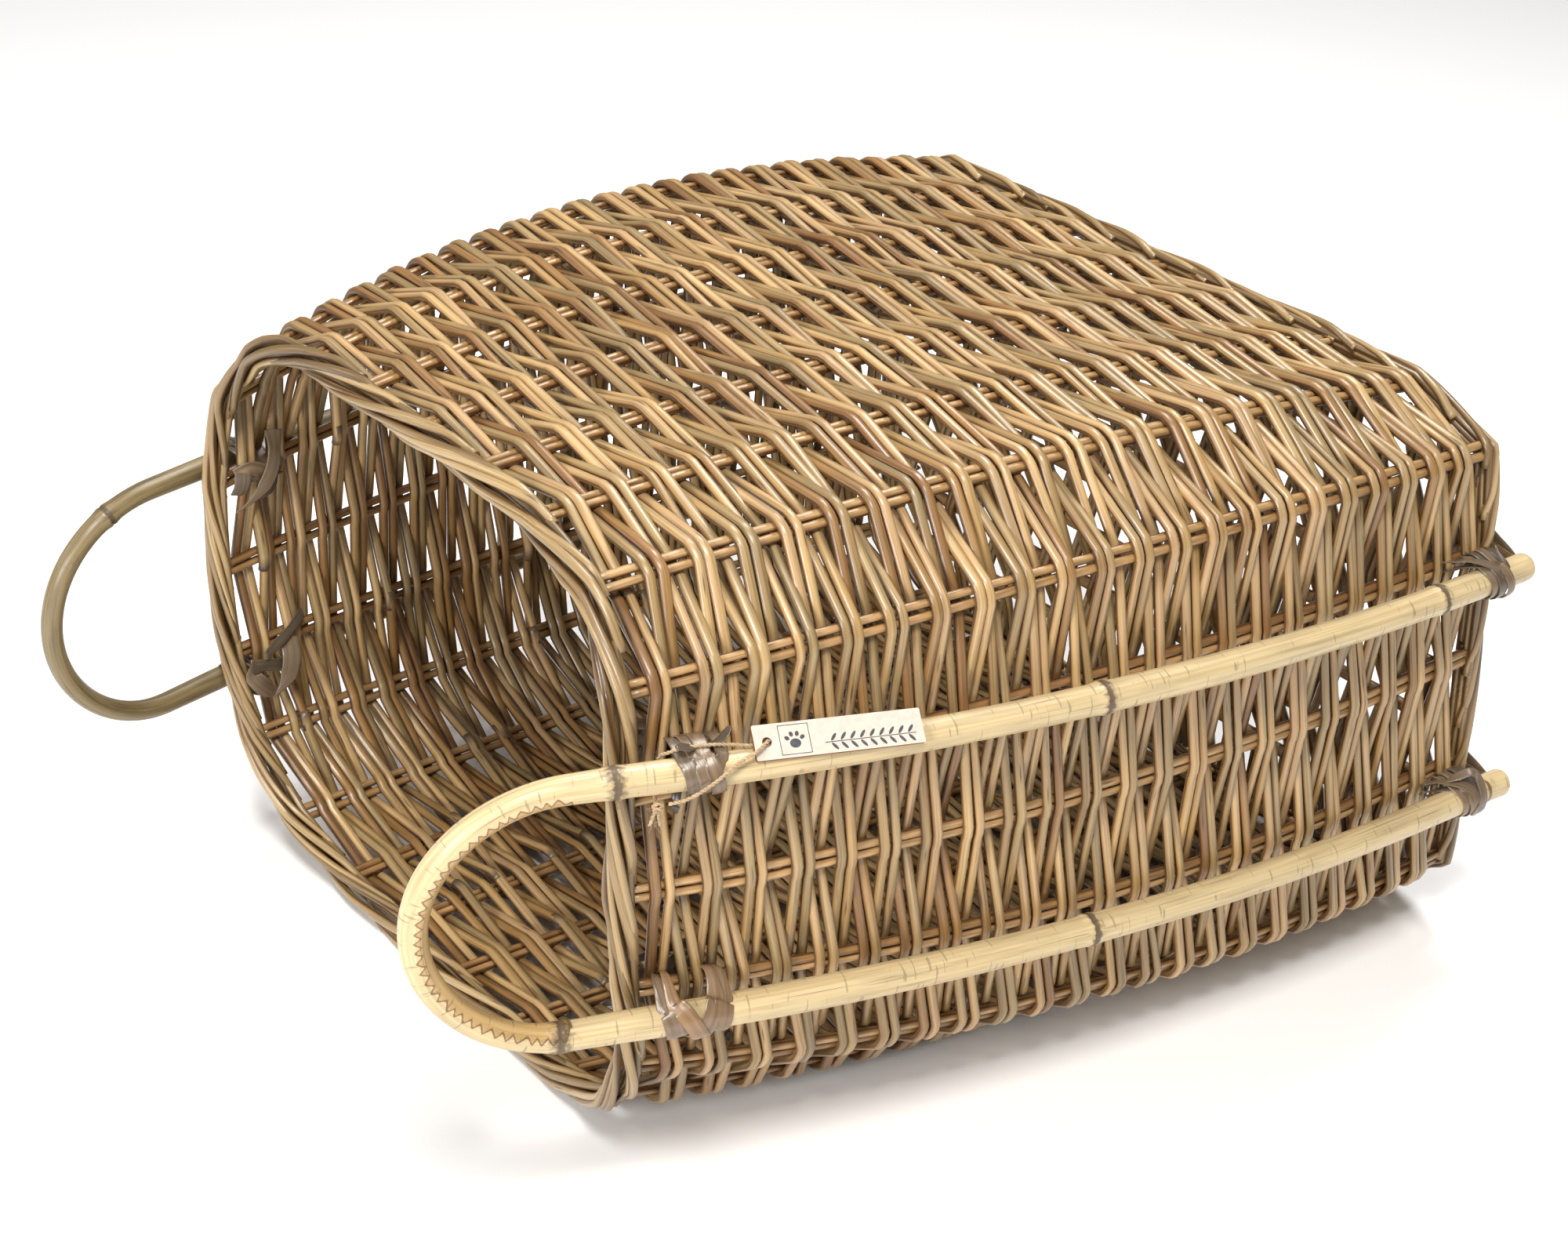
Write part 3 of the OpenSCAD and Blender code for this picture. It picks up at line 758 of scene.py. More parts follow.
# How a base weaver lies over a stick: places along it, and shares of its full lift.
OVER_STICK = ((-0.0055, 0.8), (-0.002, 1.02), (0.002, 1.02), (0.0055, 0.8))


def on_base(x, y, inward=0.0):
    return BASE_AT + np.array([x, 0, 0]) + y * BASE_UP + (BASE_T / 2 + inward) * BASE_IN


def base_reach(x):
    """How far the base runs down and up at x, inside the foot border."""
    n, a = BASE_SQUARE, half_width(FOOT_START) - WALL_T - BASE_CLEAR
    share = (1 - min(abs(x) / a, 0.995) ** n) ** (1 / n)
    return -(WAIST_Z - WALL_T) * share + BASE_CLEAR, (half_up(1) - WALL_T) * share - BASE_CLEAR


def make_base_sticks():
    bundle = Bundle()
    reach = min(half_width(FOOT_START), half_width(1)) - WALL_T - STICK_CLEAR
    xs = np.linspace(-reach, reach, 40)
    for y in STICK_YS:
        sway = slow_noise(len(xs), 9, 0.0006)
        path = [on_base(x, y + sway[i]) for i, x in enumerate(xs)]
        bundle.rod(path, [BASE_IN] * len(xs), STICK_D / 2 * np.linspace(1.0, 0.9, len(xs)), sides=10)
    stand_for(bundle.build("base_stick_rods", WILLOW_STAKE), "willow_stake", "base_sticks")


def base_weaver(low, high, column):
    """The heights and depths of a weaver from low to high: over one stick and under the next."""
    lift, margin = (STICK_D + WEAVER_D) / 2, 0.004
    points = [(low, 0)]
    for i, y in enumerate(STICK_YS):
        over = 1 if (i + column) % 2 == 0 else -1
        for across, share in OVER_STICK:
            if low + margin < y + across < high - margin:
                points.append((y + across, over * lift * share))
    return [*points, (high, 0)]


def make_base_weave():
    bundle = Bundle()
    reach = half_width(FOOT_START) - WALL_T - COLUMN_CLEAR
    columns = int(2 * reach / ROW_PITCH)
    for column in range(columns):
        middle = (column + 0.5) / columns * 2 * reach - reach
        points = base_weaver(*base_reach(middle), column)
        for rod in (-0.5, 0.5):
            x = middle + rod * (WEAVER_D + PLAY)
            sway = slow_noise(len(points), 4, 0.0004)
            path = [on_base(x + sway[i], y, depth) for i, (y, depth) in enumerate(points)]
            bundle.rod(path, [BASE_IN] * len(path), WEAVER_D / 2 * rng.uniform(0.9, 1.08))
    stand_for(bundle.build("base_weavers", WILLOW_WEAVE), "willow_weave", "base_weave")


# ---- Cane handles ----


def leg_point(y, leg, side):
    t = y / BODY_LEN
    held = min(max(t, 0), 1)
    z = (mix(*UPPER_LEG, t) if leg > 0 else -mix(*LOWER_LEG, t)) - HANDLE_DROP[side]
    x = side_x(held, z) + CANE_D[side] / 2 + CANE_GAP
    return np.array([side * x, -HALF_LEN + y + SHIFT_Y, z + WAIST_Z])


def loop_point(out, z, side):
    x = side_x(0, z) + CANE_D[side] / 2 + CANE_GAP - SIDE_SLOPE * out - LOOP_CURL[side] * out * out
    return np.array([side * x, -HALF_LEN - out + SHIFT_Y, z + WAIST_Z])


LOOP_MID = (UPPER_LEG[0] - LOWER_LEG[0]) / 2
LOOP_HALF = (UPPER_LEG[0] + LOWER_LEG[0]) / 2
LOOP_STRAIGHT = LOOP_REACH - LOOP_HALF
CANE_STEP = 0.0009
CANE_SIDES = 56
CANE_SMOOTHINGS = 14


def cane_path(side):
    """The cane's middle line, from the upper leg's end round to the lower one's, and how far along it is."""
    upper = [leg_point(y, 1, side) for y in np.linspace(BODY_LEN + LEG_TAIL[1], 0, 60)]
    lower = [leg_point(y, -1, side) for y in np.linspace(0, BODY_LEN + LEG_TAIL[-1], 60)]
    turn = []
    for f in np.linspace(math.pi / 2, -math.pi / 2, 60):
        z = LOOP_MID - HANDLE_DROP[side] + LOOP_HALF * math.sin(f)
        turn.append(loop_point(LOOP_STRAIGHT + LOOP_HALF * math.cos(f), z, side))
    rough = np.array(upper + turn + lower)
    run = run_along(rough)
    at = np.arange(0, run[-1], CANE_STEP)
    path = read_off(at, run, rough)
    for _ in range(CANE_SMOOTHINGS):
        path[1:-1] = (path[:-2] + path[2:] + 2 * path[1:-1]) / 4
    return path, at


# Where each cane's nodes are: the leg (1 is the upper one), the distance from the mouth, the smudge's length.
CANE_NODES = {
    1: [(1, -0.006, 0.006), (1, 0.231, 0.0035), (1, 0.449, 0.0035), (-1, -0.028, 0.007), (-1, 0.239, 0.003),
        (-1, 0.499, 0.002)],
    -1: [(1, 0.120, 0.003), (1, 0.335, 0.003), (1, -0.052, 0.002), (-1, 0.060, 0.003), (-1, 0.290, 0.003),
         (-1, 0.470, 0.002)],
}


LOOP_THINNING = 0.09
NODE_SWELL, NODE_PINCH = 0.0008, 0.0006
END_EASE = (0.78, 0.92, 0.98)
TOOTH_PITCH = 0.0055


def bell(distance, width):
    """1 at no distance, and falling off over a width."""
    return np.exp(-((distance / width) ** 2))


def pared_band(path, outs, at):
    """The band pared away along the inside of the loop, with its teeth: 0 to 1 at each point of the cane."""
    way = unit(np.gradient(path, axis=0))
    curl = np.gradient(way, axis=0)
    bent = np.clip(np.linalg.norm(curl, axis=1) / CANE_STEP / 8 - 0.4, 0, 1)
    across = np.cross(outs, way)
    f = all_round(CANE_SIDES)
    radial = np.cos(f)[None, :, None] * outs[:, None] + np.sin(f)[None, :, None] * across[:, None]
    facing = (radial * unit(curl)[:, None]).sum(2)
    tooth = np.abs(((at / TOOTH_PITCH + slow_noise(len(path), 6, 0.15)) % 1) - 0.5) * 2
    return np.clip((facing + 0.05 - 0.55 * tooth[:, None]) * 2.2 + 0.5, 0, 1) * bent[:, None]


def make_cane(side, name, node, material, slot, notches):
    """One handle. notches is 1 where the inside of the loop is pared, and 0 where it isn't."""
    bundle = Bundle()
    path, at = cane_path(side)
    outs = carried(path, (side, 0, 0))
    half = len(path) // 2
    gap, mark = np.full(len(path), 1.0), np.zeros(len(path))
    for leg, y, smudge in CANE_NODES[side]:
        nearest = np.abs(path[:, 1] - (y - HALF_LEN + SHIFT_Y))
        spot = nearest[:half].argmin() if leg > 0 else half + nearest[half:].argmin()
        here = np.abs(at - at[spot])
        gap = np.minimum(gap, here)
        mark += 0.60 * bell(here, 0.0011) + 0.75 * bell(here, smudge)
    swell = NODE_SWELL * bell(gap, 0.004) - NODE_PINCH * bell(gap, 0.0008)
    # A cane is thinner round its loop, where it was bent.
    past_mouth = np.clip((-HALF_LEN + SHIFT_Y + 0.01 - path[:, 1]) / 0.05, 0, 1)
    radius = CANE_D[side] / 2 * (1 - LOOP_THINNING * past_mouth) + swell + slow_noise(len(path), 80, 0.00012)
    radius[:3] *= END_EASE
    radius[-3:] *= END_EASE[::-1]
    bundle.rod(path, outs, radius, sides=CANE_SIDES, tone=0.5, mark=mark)
    piece = bundle.build(name, material)
    layer = piece.data.attributes.new("bend", "FLOAT", "POINT")
    layer.data.foreach_set("value", (pared_band(path, outs, at) * notches).ravel())
    stand_for(piece, slot, node)


# ---- Lashings ----


def cane_frame(y, leg, side):
    """A cane's middle at y, the way along it, straight out from the basket, and up across it."""
    step = 0.005
    along = unit(leg_point(y + step, leg, side) - leg_point(y - step, leg, side))
    out = np.array([side, 0, 0.0])
    out = unit(out - out.dot(along) * along)
    return leg_point(y, leg, side), along, out, side * np.cross(out, along)


def around(place, w, angle, r):
    at, along, out, up = place
    return at + w * along + r * (math.cos(angle) * out + math.sin(angle) * up)


def smooth_path(points, step):
    """A smooth curve through points, sampled about every step."""
    p = np.array([2 * points[0] - points[1], *points, 2 * points[-1] - points[-2]])
    spots = []
    for a, b, c, d in zip(p, p[1:], p[2:], p[3:]):
        parts = max(2, int(np.linalg.norm(c - b) / step))
        spots += [catmull_rom(a, b, c, d, f) for f in np.linspace(0, 1, parts, endpoint=False)]
    return np.array([*spots, p[-2]])


STRIP_STEP = 0.0010


def add_strip(bundle, points, outs, width, tone, point_first=False, point_last=False):
    """A flat strip of skin through points, faced by outs, and pointed at a free end."""
    outs = np.asarray(outs, float)
    path = smooth_path(points, STRIP_STEP)
    share = np.linspace(0, 1, len(path))
    face = unit(read_off(share, np.linspace(0, 1, len(outs)), outs))
    wide = np.full(len(path), width / 2) * (1 + slow_noise(len(path), 8, 0.06))
    if point_first:
        wide *= 0.12 + 0.88 * np.minimum(share / 0.42, 1) ** 1.5
    if point_last:
        wide *= 0.25 + 0.75 * np.minimum((1 - share) / 0.25, 1)
    bundle.rod(path, face, STRIP_T / 2, wide, sides=16, tone=tone, square=0.6)


# A strip lies on the cane from just past its top to right below it: angles up from straight out.
LIES_FROM, LIES_TO = 0.44 * math.pi, -0.5 * math.pi
# How far above the cane it comes out of the wall.
CROSSED_RISE, SLANTED_RISE = 0.0075, 0.0025
REAR_WALL_T = 0.004


def add_wrap(bundle, place, side, wrap, tone, rear, rise):
    """One strip from inside the wall, up through it, over the cane on the slant, and back through below."""
    at, along, out, up = place
    w_top, w_low, lift, width = wrap
    cane_r = CANE_D[side] / 2 + 0.0006 + lift
    wall = CANE_D[side] / 2 + CANE_GAP + (REAR_WALL_T if rear else WALL_T + 0.001)
    behind = CANE_D[side] / 2 + CANE_GAP * 0.6

    def spot(w, o, v):
        return at + w * along + o * out + v * up

    points = [spot(w_top * 0.7, -wall, rise * 0.8), spot(w_top * 1.05, -behind, cane_r + rise)]
    outs = [up, unit(up + 0.8 * out)]
    for share in np.linspace(0, 1, 9):
        angle = mix(LIES_FROM, LIES_TO, share)
        points.append(around(place, mix(w_top, w_low, share), angle, cane_r))
        outs.append(math.cos(angle) * out + math.sin(angle) * up)
    points += [spot(w_low * 1.02, -behind, -cane_r - 0.0012), spot(w_low * 0.8, -wall, -0.004)]
    outs += [unit(0.5 * out - up), -up]
    add_strip(bundle, points, outs, width, tone, point_first=rise == CROSSED_RISE)


# The strips of each kind of lashing, in millimetres: places along the cane above and below it, lift, width.
CROSSED = [(-14.5, -8, 0.2, 10.5), (13.5, 8, 0.3, 10.5), (9, -3, 1.2, 9.0), (-11, 6.5, 2.1, 8.5)]
SLANTED = [(-10, -4, 0.2, 7.0), (8, -7, 0.3, 6.5), (-5, 2, 1.0, 7.0), (0, 8, 1.8, 7.0)]
REAR = [(-8, -3, 0.2, 5.5), (8, -5, 0.3, 5.5), (-4, 3, 1.3, 5.5), (1, 9, 2.3, 5.5)]
# Loose strips of a lashing, in millimetres along, out and up from the cane's middle: width, tone and points.
FRONT_TAILS = [
    (6.5, 0.2, [(2, -9, 9), (-4, -4, 11), (-9, 0, 13.5), (-14, 2, 15)]),
    (6.0, 0.1, [(3, -9, 9), (7, -5, 11.5), (11, -4, 15), (13, -5, 18)]),
    (4.5, 0.0, [(-8, -8, -8), (-10, -4, -12), (-11, -2, -17), (-10, -3, -21)]),
]
REAR_TAILS = {
    1: [(5.5, 0.5, [(-26, -12, 12), (-20, -9, 12), (-13, -5, 12.5), (-6, 0, 11), (0, 5, 8.5), (3, 9.5, 2)]),
        (5.0, 0.2, [(-24, -11, 7), (-16, -8, 8), (-9, -3, 9.5), (-3, 3, 9.5), (1, 8, 6)]),
        (4.5, 0.3, [(6, 3, 9), (4, 2, 12), (1, 1, 16), (-1, 0, 20)])],
    -1: [(5.5, 0.55, [(-22, -11, 10), (-15, -8, 11), (-8, -2, 11), (-2, 4, 9.5), (3, 9, 4), (4, 9.5, -2)]),
         (5.0, 0.25, [(-22, -11, 5), (-14, -7, 6), (-8, 0, 8.5), (-4, 6, 7), (-2, 9, 2)]),
         (6.0, 0.45, [(-10, -8, 9), (-5, -2, 14), (1, 2, 17), (5, 4, 14), (6, 9, 6), (5, 10.5, 0),
                      (2, 8, -7)])],
}


def inside_wall(y, z, side):
    """A point on the cabin's wall, y from the mouth and z up from the waist, and its inward direction."""
    t = y / BODY_LEN
    station = Station(t)
    ks = range(1 - PAIRS // 4, PAIRS // 4)
    spots = np.array([station.point(k, -WALL_T - 0.0008, e * STAKE_D) for k in ks for e in (-1, 1)])
    x = np.interp([z - 0.008, z, z + 0.008], spots[:, 2] - WAIST_Z, spots[:, 0])
    inward = unit([-0.016, 0, x[2] - x[0]])
    point = np.array([side * x[1], float(wall_y(t, z)), z + WAIST_Z])
    return point, inward * np.array([side, 1, 1])


# The knots on the cabin's wall, in millimetres along, up and inward: width, tone, pointed ends and points.
KNOTS = {
    1: [(7, 0.35, (0, 0), [(-11, -8, 0), (-10, -2, 2.5), (-10, 4, 3), (-9, 9, 0)]),
        (7, 0.15, (0, 0), [(13, 3, -1), (11, -4, 2), (7, -9, 2.5), (1, -10, 0)]),
        (6, 0.6, (0, 0), [(-14, 5, 0), (-7, 8, 3.5), (1, 5, 4.5), (8, -1, 3), (12, -6, 0)]),
        (6, 0.4, (0, 0), [(-13, 0, 0), (-6, 3, 3), (1, 1, 4), (7, -5, 2)]),
        (6.5, 0.45, (1, 0), [(-14, -16, 3), (-6, -11, 6), (2, -4, 7.5), (8, 5, 7), (11, 14, 4),
                             (13, 22, -2)])],
    -1: [(6, 0.2, (0, 0), [(-17, 5, 0), (-8, 4, 3), (3, 1, 3.5), (12, 1, 0)]),
         (7, 0.1, (0, 0), [(9, 10, 0), (12, 3, 2), (12, -5, 1.5), (8, -9, -1)]),
         (7.5, 0.5, (0, 1), [(-13, 5, 1), (-18, 2, 4), (-15, -3, 6), (-10, -8, 6), (-4, -14, 5)]),
         (8, 0.45, (1, 0), [(-5, -15, 5), (1, -10, 7), (6, -3, 8), (9, 5, 7), (11, 14, 2)]),
         (5, 0.3, (0, 0), [(-9, 11, 6), (-1, 14, 5), (8, 17, 4), (17, 20, 1), (25, 22, -3)])],
}


def add_inside_knot(bundle, place, side, y, z, leg):
    """Strips crossed and tied on the cabin's wall, with long curled ends."""
    at, inward = inside_wall(y, z, side)
    along = place[1]
    up = np.cross(inward, along) * side * -1
    up = unit(up if up[2] > 0 else -up)
    for width, tone, (first, last), table in KNOTS[leg]:
        points = [at + (w * along + v * up + (o + 0.5) * inward) / 1000 for w, v, o in table]
        outs = [unit(inward + rng.normal(0, 0.12, 3)) for _ in table]
        add_strip(bundle, points, outs, width * 0.0013, tone, bool(first), bool(last))


def add_rear_knot(bundle, leg, side):
    """The strips' ends, tied and cut short behind the foot border."""
    at = leg_point(BODY_LEN, leg, side)
    root = np.array([at[0] - side * 0.014, float(wall_y(1, at[2] - WAIST_Z)) + 0.0015, at[2]])
    for j in range(3):
        way = unit(np.array([-side, 0, (j - 1) * 0.5 + rng.uniform(-0.2, 0.2)]))
        points = []
        for f in np.linspace(0, 1, 5):
            proud = 0.0008 * j + 0.0025 * math.sin(f * 2.5)
            points.append(root + np.array([side * 0.010 * (1 - f), proud, 0]) + f * 0.02 * way)
        add_strip(bundle, points, [(0, 1, 0)] * 5, REAR_KNOT_W, rng.random(), point_last=True)


def make_lashing(end, side, leg):
    name = f"lashing_{end}_{'right' if side > 0 else 'left'}_{'upper' if leg > 0 else 'lower'}"
    rear = end == "rear"
    crossed = leg < 0 and not rear
    if rear:
        y, wraps, tails = BODY_LEN - REAR_LASH[leg], REAR, REAR_TAILS[leg]
    else:
        y, wraps, tails = (FRONT_LASH, CROSSED, []) if crossed else (FRONT_LASH, SLANTED, FRONT_TAILS)
    place = cane_frame(y, leg, side)
    at, along, out, up = place
    bundle = Bundle()
    for wrap in wraps:
        wrap = np.array(wrap) / 1000
        wrap[:2] += rng.normal(0, 0.0004, 2)
        tone = rng.uniform(0.6, 1.0) if crossed else rng.uniform(0.15, 0.75)
        add_wrap(bundle, place, side, wrap, tone, rear, CROSSED_RISE if crossed else SLANTED_RISE)
    if rear:
        add_rear_knot(bundle, leg, side)
    else:
        higher = 0.012 if side < 0 and leg < 0 else 0
        add_inside_knot(bundle, place, side, y - 0.003, at[2] - WAIST_Z + higher, leg)
    for width, tone, table in tails:
        points = [at + (w * along + o * out + v * up) / 1000 for w, o, v in table]
        outs = [unit(o * out + v * up + 4 * out) for w, o, v in table]
        add_strip(bundle, points, outs, width / 1000, tone, point_last=len(table) == 4)
    stand_for(bundle.build(name + "_strips", LASHING), "lashing_strip", name)


# ---- Hang tag and its twine ----

TAG_PLACE = cane_frame(FRONT_LASH + TAG_FROM_LASH, 1, 1)
TAG_OUT = math.cos(TAG_FACE_UP) * TAG_PLACE[2] + math.sin(TAG_FACE_UP) * TAG_PLACE[3]
TAG_RISE = math.cos(TAG_FACE_UP) * TAG_PLACE[3] - math.sin(TAG_FACE_UP) * TAG_PLACE[2]
TAG_CENTRE = TAG_PLACE[0] + (CANE_D[1] / 2 + PLAY + TAG_T / 2) * TAG_OUT + (TAG_W / 2 - 0.0015) * TAG_RISE
TAG_ALONG = math.cos(TAG_DROOP) * TAG_PLACE[1] - math.sin(TAG_DROOP) * TAG_RISE
TAG_UP = np.cross(TAG_OUT, TAG_ALONG)


def on_tag(u, v, w=0.0):
    """A point of the tag: u along it from its hole, v up across it, w out from its middle."""
    return TAG_CENTRE + u * TAG_ALONG + v * TAG_UP + w * TAG_OUT


TAG_CORNER_R = 0.0008


def tag_outline():
    """The tag's outline with small rounded corners, anticlockwise seen from outside."""
    r = TAG_CORNER_R
    left, right, top = r - TAG_HOLE_IN, TAG_LEN - TAG_HOLE_IN - r, TAG_W / 2 - r
    points = []
    for cu, cv, start in ((right, top, 0), (left, top, 90), (left, -top, 180), (right, -top, 270)):
        for a in np.radians(np.linspace(start, start + 90, 5)):
            points.append((cu + r * math.cos(a), cv + r * math.sin(a)))
    return points


def hole_outline(count=24):
    return [(TAG_HOLE_D / 2 * math.cos(a), TAG_HOLE_D / 2 * math.sin(a)) for a in all_round(count)]


def make_tag():
    """A thin board with a real hole and slightly eased edges."""
    bm = bmesh.new()
    faces_at = {}
    for w in (TAG_T / 2, -TAG_T / 2):
        outer = [bm.verts.new(on_tag(u, v, w)) for u, v in tag_outline()]
        inner = [bm.verts.new(on_tag(u, v, w)) for u, v in hole_outline()]
        edges = [bm.edges.new((r[i], r[(i + 1) % len(r)])) for r in (outer, inner) for i in range(len(r))]
        bmesh.ops.triangle_fill(bm, edges=edges, use_beauty=True)
        faces_at[w] = (outer, inner)
    for which in (0, 1):
        top, low = faces_at[TAG_T / 2][which], faces_at[-TAG_T / 2][which]
        for i in range(len(top)):
            j = (i + 1) % len(top)
            face = bm.faces.new((top[i], top[j], low[j], low[i]))
            face.material_index = 1
            face.smooth = which == 1
    bmesh.ops.recalc_face_normals(bm, faces=bm.faces)
    mesh = bpy.data.meshes.new("tag_board")
    bm.to_mesh(mesh)
    bm.free()
    board = show("tag_board", mesh, TAG_FACE)
    mesh.materials.append(TAG_EDGE)
    bevel = board.modifiers.new("eased_edge", "BEVEL")
    bevel.width, bevel.segments, bevel.limit_method = 0.00018, 2, "ANGLE"
    bevel.material = 0
    stand_for(board, "tag_board", "hang_tag", body="tag")


def inlay(points, height):
    """The top and sides of a thin printed shape on the tag's face, as (points, faces)."""
    low, top = TAG_T / 2 - 0.00002, TAG_T / 2 + height
    n = len(points)
    verts = [on_tag(u, v, top) for u, v in points] + [on_tag(u, v, low) for u, v in points]
    faces = [tuple(range(n))] + [(i, i + n, (i + 1) % n + n, (i + 1) % n) for i in range(n)]
    return verts, faces


def oval(cu, cv, ru, rv, tilt=0.0, count=20):
    c, s = math.cos(tilt), math.sin(tilt)
    spots = [(ru * math.cos(a), rv * math.sin(a)) for a in all_round(count)]
    return [(cu + x * c - y * s, cv + x * s + y * c) for x, y in spots]


def bar(u0, v0, u1, v1, width):
    along = unit([u1 - u0, v1 - v0]) * width / 2
    side = np.array([-along[1], along[0]])
    a, b = np.array([u0, v0]) - along, np.array([u1, v1]) + along
    return [tuple(a - side), tuple(b - side), tuple(b + side), tuple(a + side)]


INK_T = 0.00008
FRAME_FROM, FRAME_TO, FRAME_HALF_H = 0.0060, 0.0200, 0.0066
PAD_V, TOE_REACH = -0.0018, 0.0044
SPRIG_FROM, SPRIG_TO, SPRIG_V = 0.0270, 0.0700, -0.0030
LEAF_FROM, LEAF_PITCH, LEAVES = 0.0311, 0.0046, 9
LEAF_LEAN = math.radians(49.6)


def make_tag_ornament():
    """A paw print in a thin frame, and a sprig of leaves."""
    left, right, top = FRAME_FROM, FRAME_TO, FRAME_HALF_H
    corners = [(left, -top), (right, -top), (right, top), (left, top)]
    shapes = [bar(*corners[i], *corners[(i + 1) % 4], 0.0003) for i in range(4)]
    paw = (left + right) / 2
    shapes.append(oval(paw, PAD_V, 0.0026, 0.0021))
    for i in range(4):
        a = math.radians(35 + 36.7 * i)
        toe = (paw + TOE_REACH * math.cos(a), PAD_V + TOE_REACH * math.sin(a))
        shapes.append(oval(*toe, 0.0012, 0.0009, a))
    shapes.append(bar(SPRIG_FROM, SPRIG_V, SPRIG_TO, SPRIG_V, 0.00035))
    for i in range(LEAVES):
        for sign in (1, -1):
            leaf = (LEAF_FROM + i * LEAF_PITCH, SPRIG_V + sign * 0.0021)
            shapes.append(oval(*leaf, 0.0021, 0.0007, sign * LEAF_LEAN))
    points, faces = [], []
    for shape in shapes:
        verts, sides = inlay(shape, INK_T)
        faces += [tuple(i + len(points) for i in f) for f in sides]
        points += verts
    mesh = bpy.data.meshes.new("tag_ornament")
    mesh.from_pydata([tuple(p) for p in points], [], faces)
    mesh.update()
    ornament = show("tag_ornament", mesh, TAG_INK)
    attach(ornament, "tag")


# The twine's route around the cane: millimetres along it from the lashing, the angle up from straight out in
# degrees, and millimetres out from the cane's skin.
TWINE_OUT = [
    (-21, -90, 6), (-20, -120, 3), (-19, -150, 2.5), (-18, 180, 2.5), (-17, 145, 2.5), (-15, 115, 2.5),
    (-8, 100, 4.5), (4, 96, 4.5), (13, 94, 3.5), (20, 93, 2.2),
]
TWINE_BACK = [
    (21, 54, 5.5), (16, 46, 5), (10, 32, 4.5), (3, 10, 4.5), (-4, -12, 4.5), (-11, -37, 4.5), (-17, -62, 4.5),
]


PLY_TURN = 0.0042
KNOT_FROM_SKIN = 0.006
TAIL_LEN = 0.009
HAIRS = 60


def add_plies(bundle, path, phase=0.0):
    """Two jute plies twisted around a path."""
    outs = carried(path, (0.3, 0.2, 0.9))
    side = np.cross(unit(np.gradient(path, axis=0)), outs)
    for ply in (0, 1):
        f = run_along(path) / PLY_TURN * 2 * math.pi + ply * math.pi + phase
        arm = np.cos(f)[:, None] * outs + np.sin(f)[:, None] * side
        bundle.rod(path + arm * TWINE_D * 0.22, arm, TWINE_D * 0.29, sides=6)


def make_twine():
    """The loop through the tag's hole and around the lashing, its knot, two short ends and loose hairs."""
    place = cane_frame(FRONT_LASH, 1, 1)
    along, out, up = place[1:]

    def spots(route):
        return [around(place, w / 1000, math.radians(a), CANE_D[1] / 2 + r / 1000) for w, a, r in route]

    past_hole = (TAG_T + TWINE_D) / 2 + 0.0005
    through = [TAG_CENTRE + w * TAG_OUT for w in (-past_hole, 0, past_hole)]
    bundle = Bundle()
    add_plies(bundle, smooth_path(spots(TWINE_OUT) + through + spots(TWINE_BACK), 0.0004))
    knot = around(place, -0.021, math.radians(-80), CANE_D[1] / 2 + KNOT_FROM_SKIN)
    for i in range(3):
        ring_r, across = 0.0016 + 0.0002 * i, out if i % 2 else up
        f = np.linspace(0, 2 * math.pi, 20)[:, None]
        ring = ring_r * (np.cos(f) * along + np.sin(f) * across)
        add_plies(bundle, knot + (i - 1) * 0.0008 * out + ring, i)
    for i, lean in enumerate((-0.35, 0.15)):
        f = np.linspace(0, TAIL_LEN, 16)[:, None]
        add_plies(bundle, knot + 0.0006 * i * out + f * (-up + lean * along), i)
    for _ in range(HAIRS):
        root = knot + rng.normal(0, 0.0012, 3) - up * rng.uniform(0, 0.008)
        way = unit(-up + rng.normal(0, 0.5, 3))
        length = rng.uniform(0.002, 0.005)
        hair = np.array([root + f * length * way for f in (0, 0.5, 1)])
        bundle.rod(hair, carried(hair, (0.3, 0.9, 0.1)), 0.00007, sides=4)
    stand_for(bundle.build("jute_loop", JUTE), "jute", "tag_twine")


# ---- Floor, light and camera ----


FLOOR_REACH = 6.0
FLOOR_DROP = 0.0005


def make_floor():
    mesh = bpy.data.meshes.new("floor")
    corners = [(x * FLOOR_REACH, y * FLOOR_REACH, 0) for x, y in ((-1, -1), (1, -1), (1, 1), (-1, 1))]
    mesh.from_pydata(corners, [], [(0, 1, 2, 3)])
    material, tree, shader = new_material("pale_floor")
    feed(tree, shader, {"Base Color": (0.96, 0.96, 0.96, 1), "Roughness": 0.9})
    floor = show("floor", mesh, material)
    floor.location.z = -FLOOR_DROP


WARM_WHITE = (1.0, 0.97, 0.93)


def add_light(name, at, target, size, power, colour=(1, 1, 1)):
    data = bpy.data.lights.new(name, "AREA")
    data.shape, data.size, data.energy, data.color = "DISK", size, power, colour
    lamp = bpy.data.objects.new(name, data)
    lamp.location = at
    lamp.rotation_euler = (Vector(target) - Vector(at)).to_track_quat("-Z", "Y").to_euler()
    bpy.context.scene.collection.objects.link(lamp)


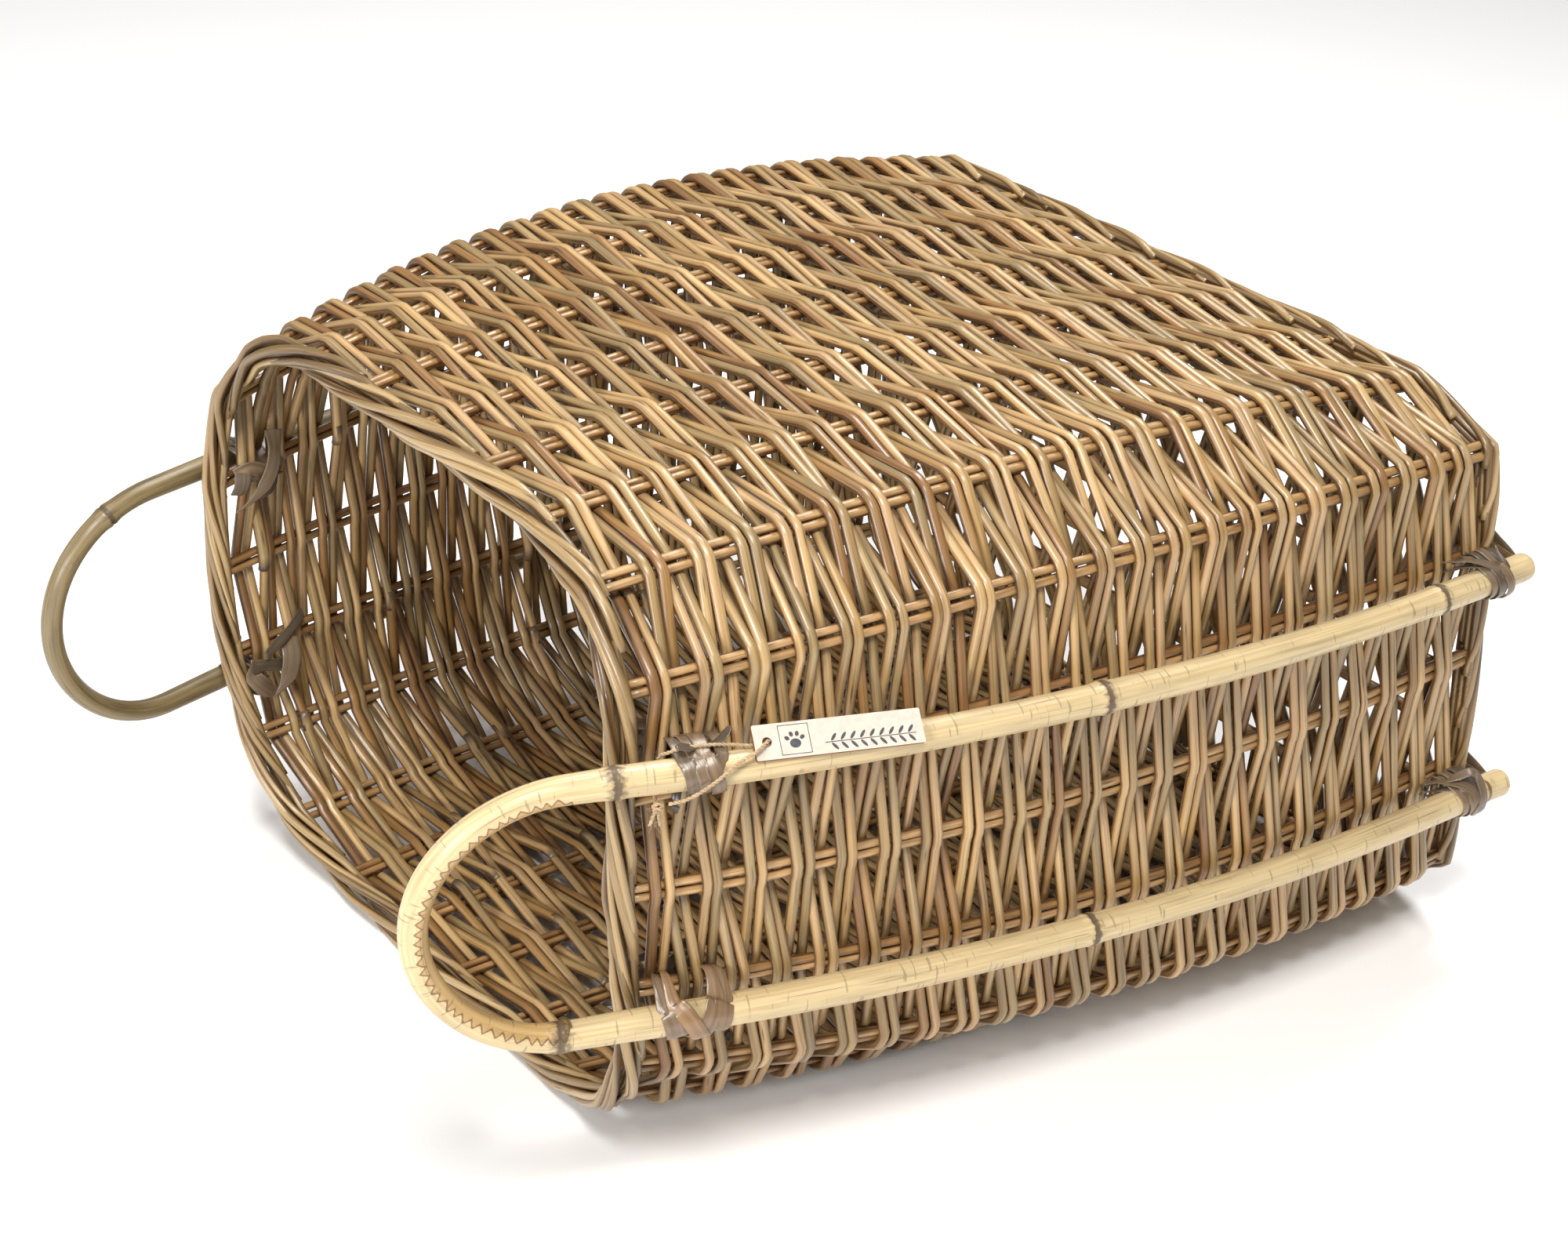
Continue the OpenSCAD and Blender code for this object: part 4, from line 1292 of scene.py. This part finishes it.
def light_room():
    world = bpy.data.worlds.new("room")
    bpy.context.scene.world = world
    world.use_nodes = True
    feed(world.node_tree, world.node_tree.nodes["Background"], {"Color": (*WARM_WHITE, 1), "Strength": 0.22})
    aim = (0, 0.04, 0.15)
    add_light("key", (1.15, -0.95, 2.4), aim, 0.75, 60, WARM_WHITE)
    add_light("fill", (-1.6, -2.0, 1.2), aim, 1.0, 9)
    add_light("mouth", (0.75, -1.9, 0.9), (-0.15, -0.05, 0.12), 0.6, 27)
    add_light("top", (-0.5, 0.9, 2.5), aim, 1.1, 50)
    bpy.context.scene.view_settings.view_transform = "Standard"


CAMERA_AZIMUTH, CAMERA_RISE, CAMERA_ROLL = math.radians(50.63), math.radians(27.48), math.radians(3.48)
CAMERA_FROM = 1.5824
CAMERA_LENS, SENSOR_W = 68.0, 36.0
CAMERA_SHIFT = (-0.0168, -0.0231)


def place_camera():
    data = bpy.data.cameras.new("camera")
    data.lens, data.sensor_width, data.sensor_fit = CAMERA_LENS, SENSOR_W, "HORIZONTAL"
    data.shift_x, data.shift_y = CAMERA_SHIFT
    data.clip_end = 30
    ca, sa = math.cos(CAMERA_AZIMUTH), math.sin(CAMERA_AZIMUTH)
    ce, se = math.cos(CAMERA_RISE), math.sin(CAMERA_RISE)
    back = np.array([sa * ce, -ca * ce, se])
    right = np.array([ca, sa, 0])
    up = np.cross(back, right)
    cr, sr = math.cos(CAMERA_ROLL), math.sin(CAMERA_ROLL)
    right, up = right * cr + up * sr, up * cr - right * sr
    at = np.array([0, SHIFT_Y, WAIST_Z]) + back * CAMERA_FROM
    camera = bpy.data.objects.new("camera", data)
    columns = np.stack([right, up, back, at], 1)
    camera.matrix_world = Matrix([*columns.tolist(), [0, 0, 0, 1]])
    bpy.context.scene.collection.objects.link(camera)
    bpy.context.scene.camera = camera


# ---- The whole basket ----

place_camera()
make_floor()
light_room()
make_courses()
for k in range(PAIRS):
    make_stake_pair(k)
make_border("rolled_rim", "rim_border", RIM_END, 0.0, bays=3.1, bulge=0.0070, rounding=0.6, looseness=1.0)
make_border("foot_wale", "foot_border", FOOT_START, 1.0, bays=2.8, bulge=0.0060, rounding=0.1, looseness=0.5)
make_base_sticks()
make_base_weave()
make_cane(1, "cane_right", "cane_handle_right", PALE_CANE, "pale_cane", 1.0)
make_cane(-1, "cane_left", "cane_handle_left", OLIVE_CANE, "olive_cane", 0.0)
for side in (1, -1):
    for leg in (1, -1):
        for end in ("front", "rear"):
            make_lashing(end, side, leg)
make_tag()
make_tag_ornament()
make_twine()
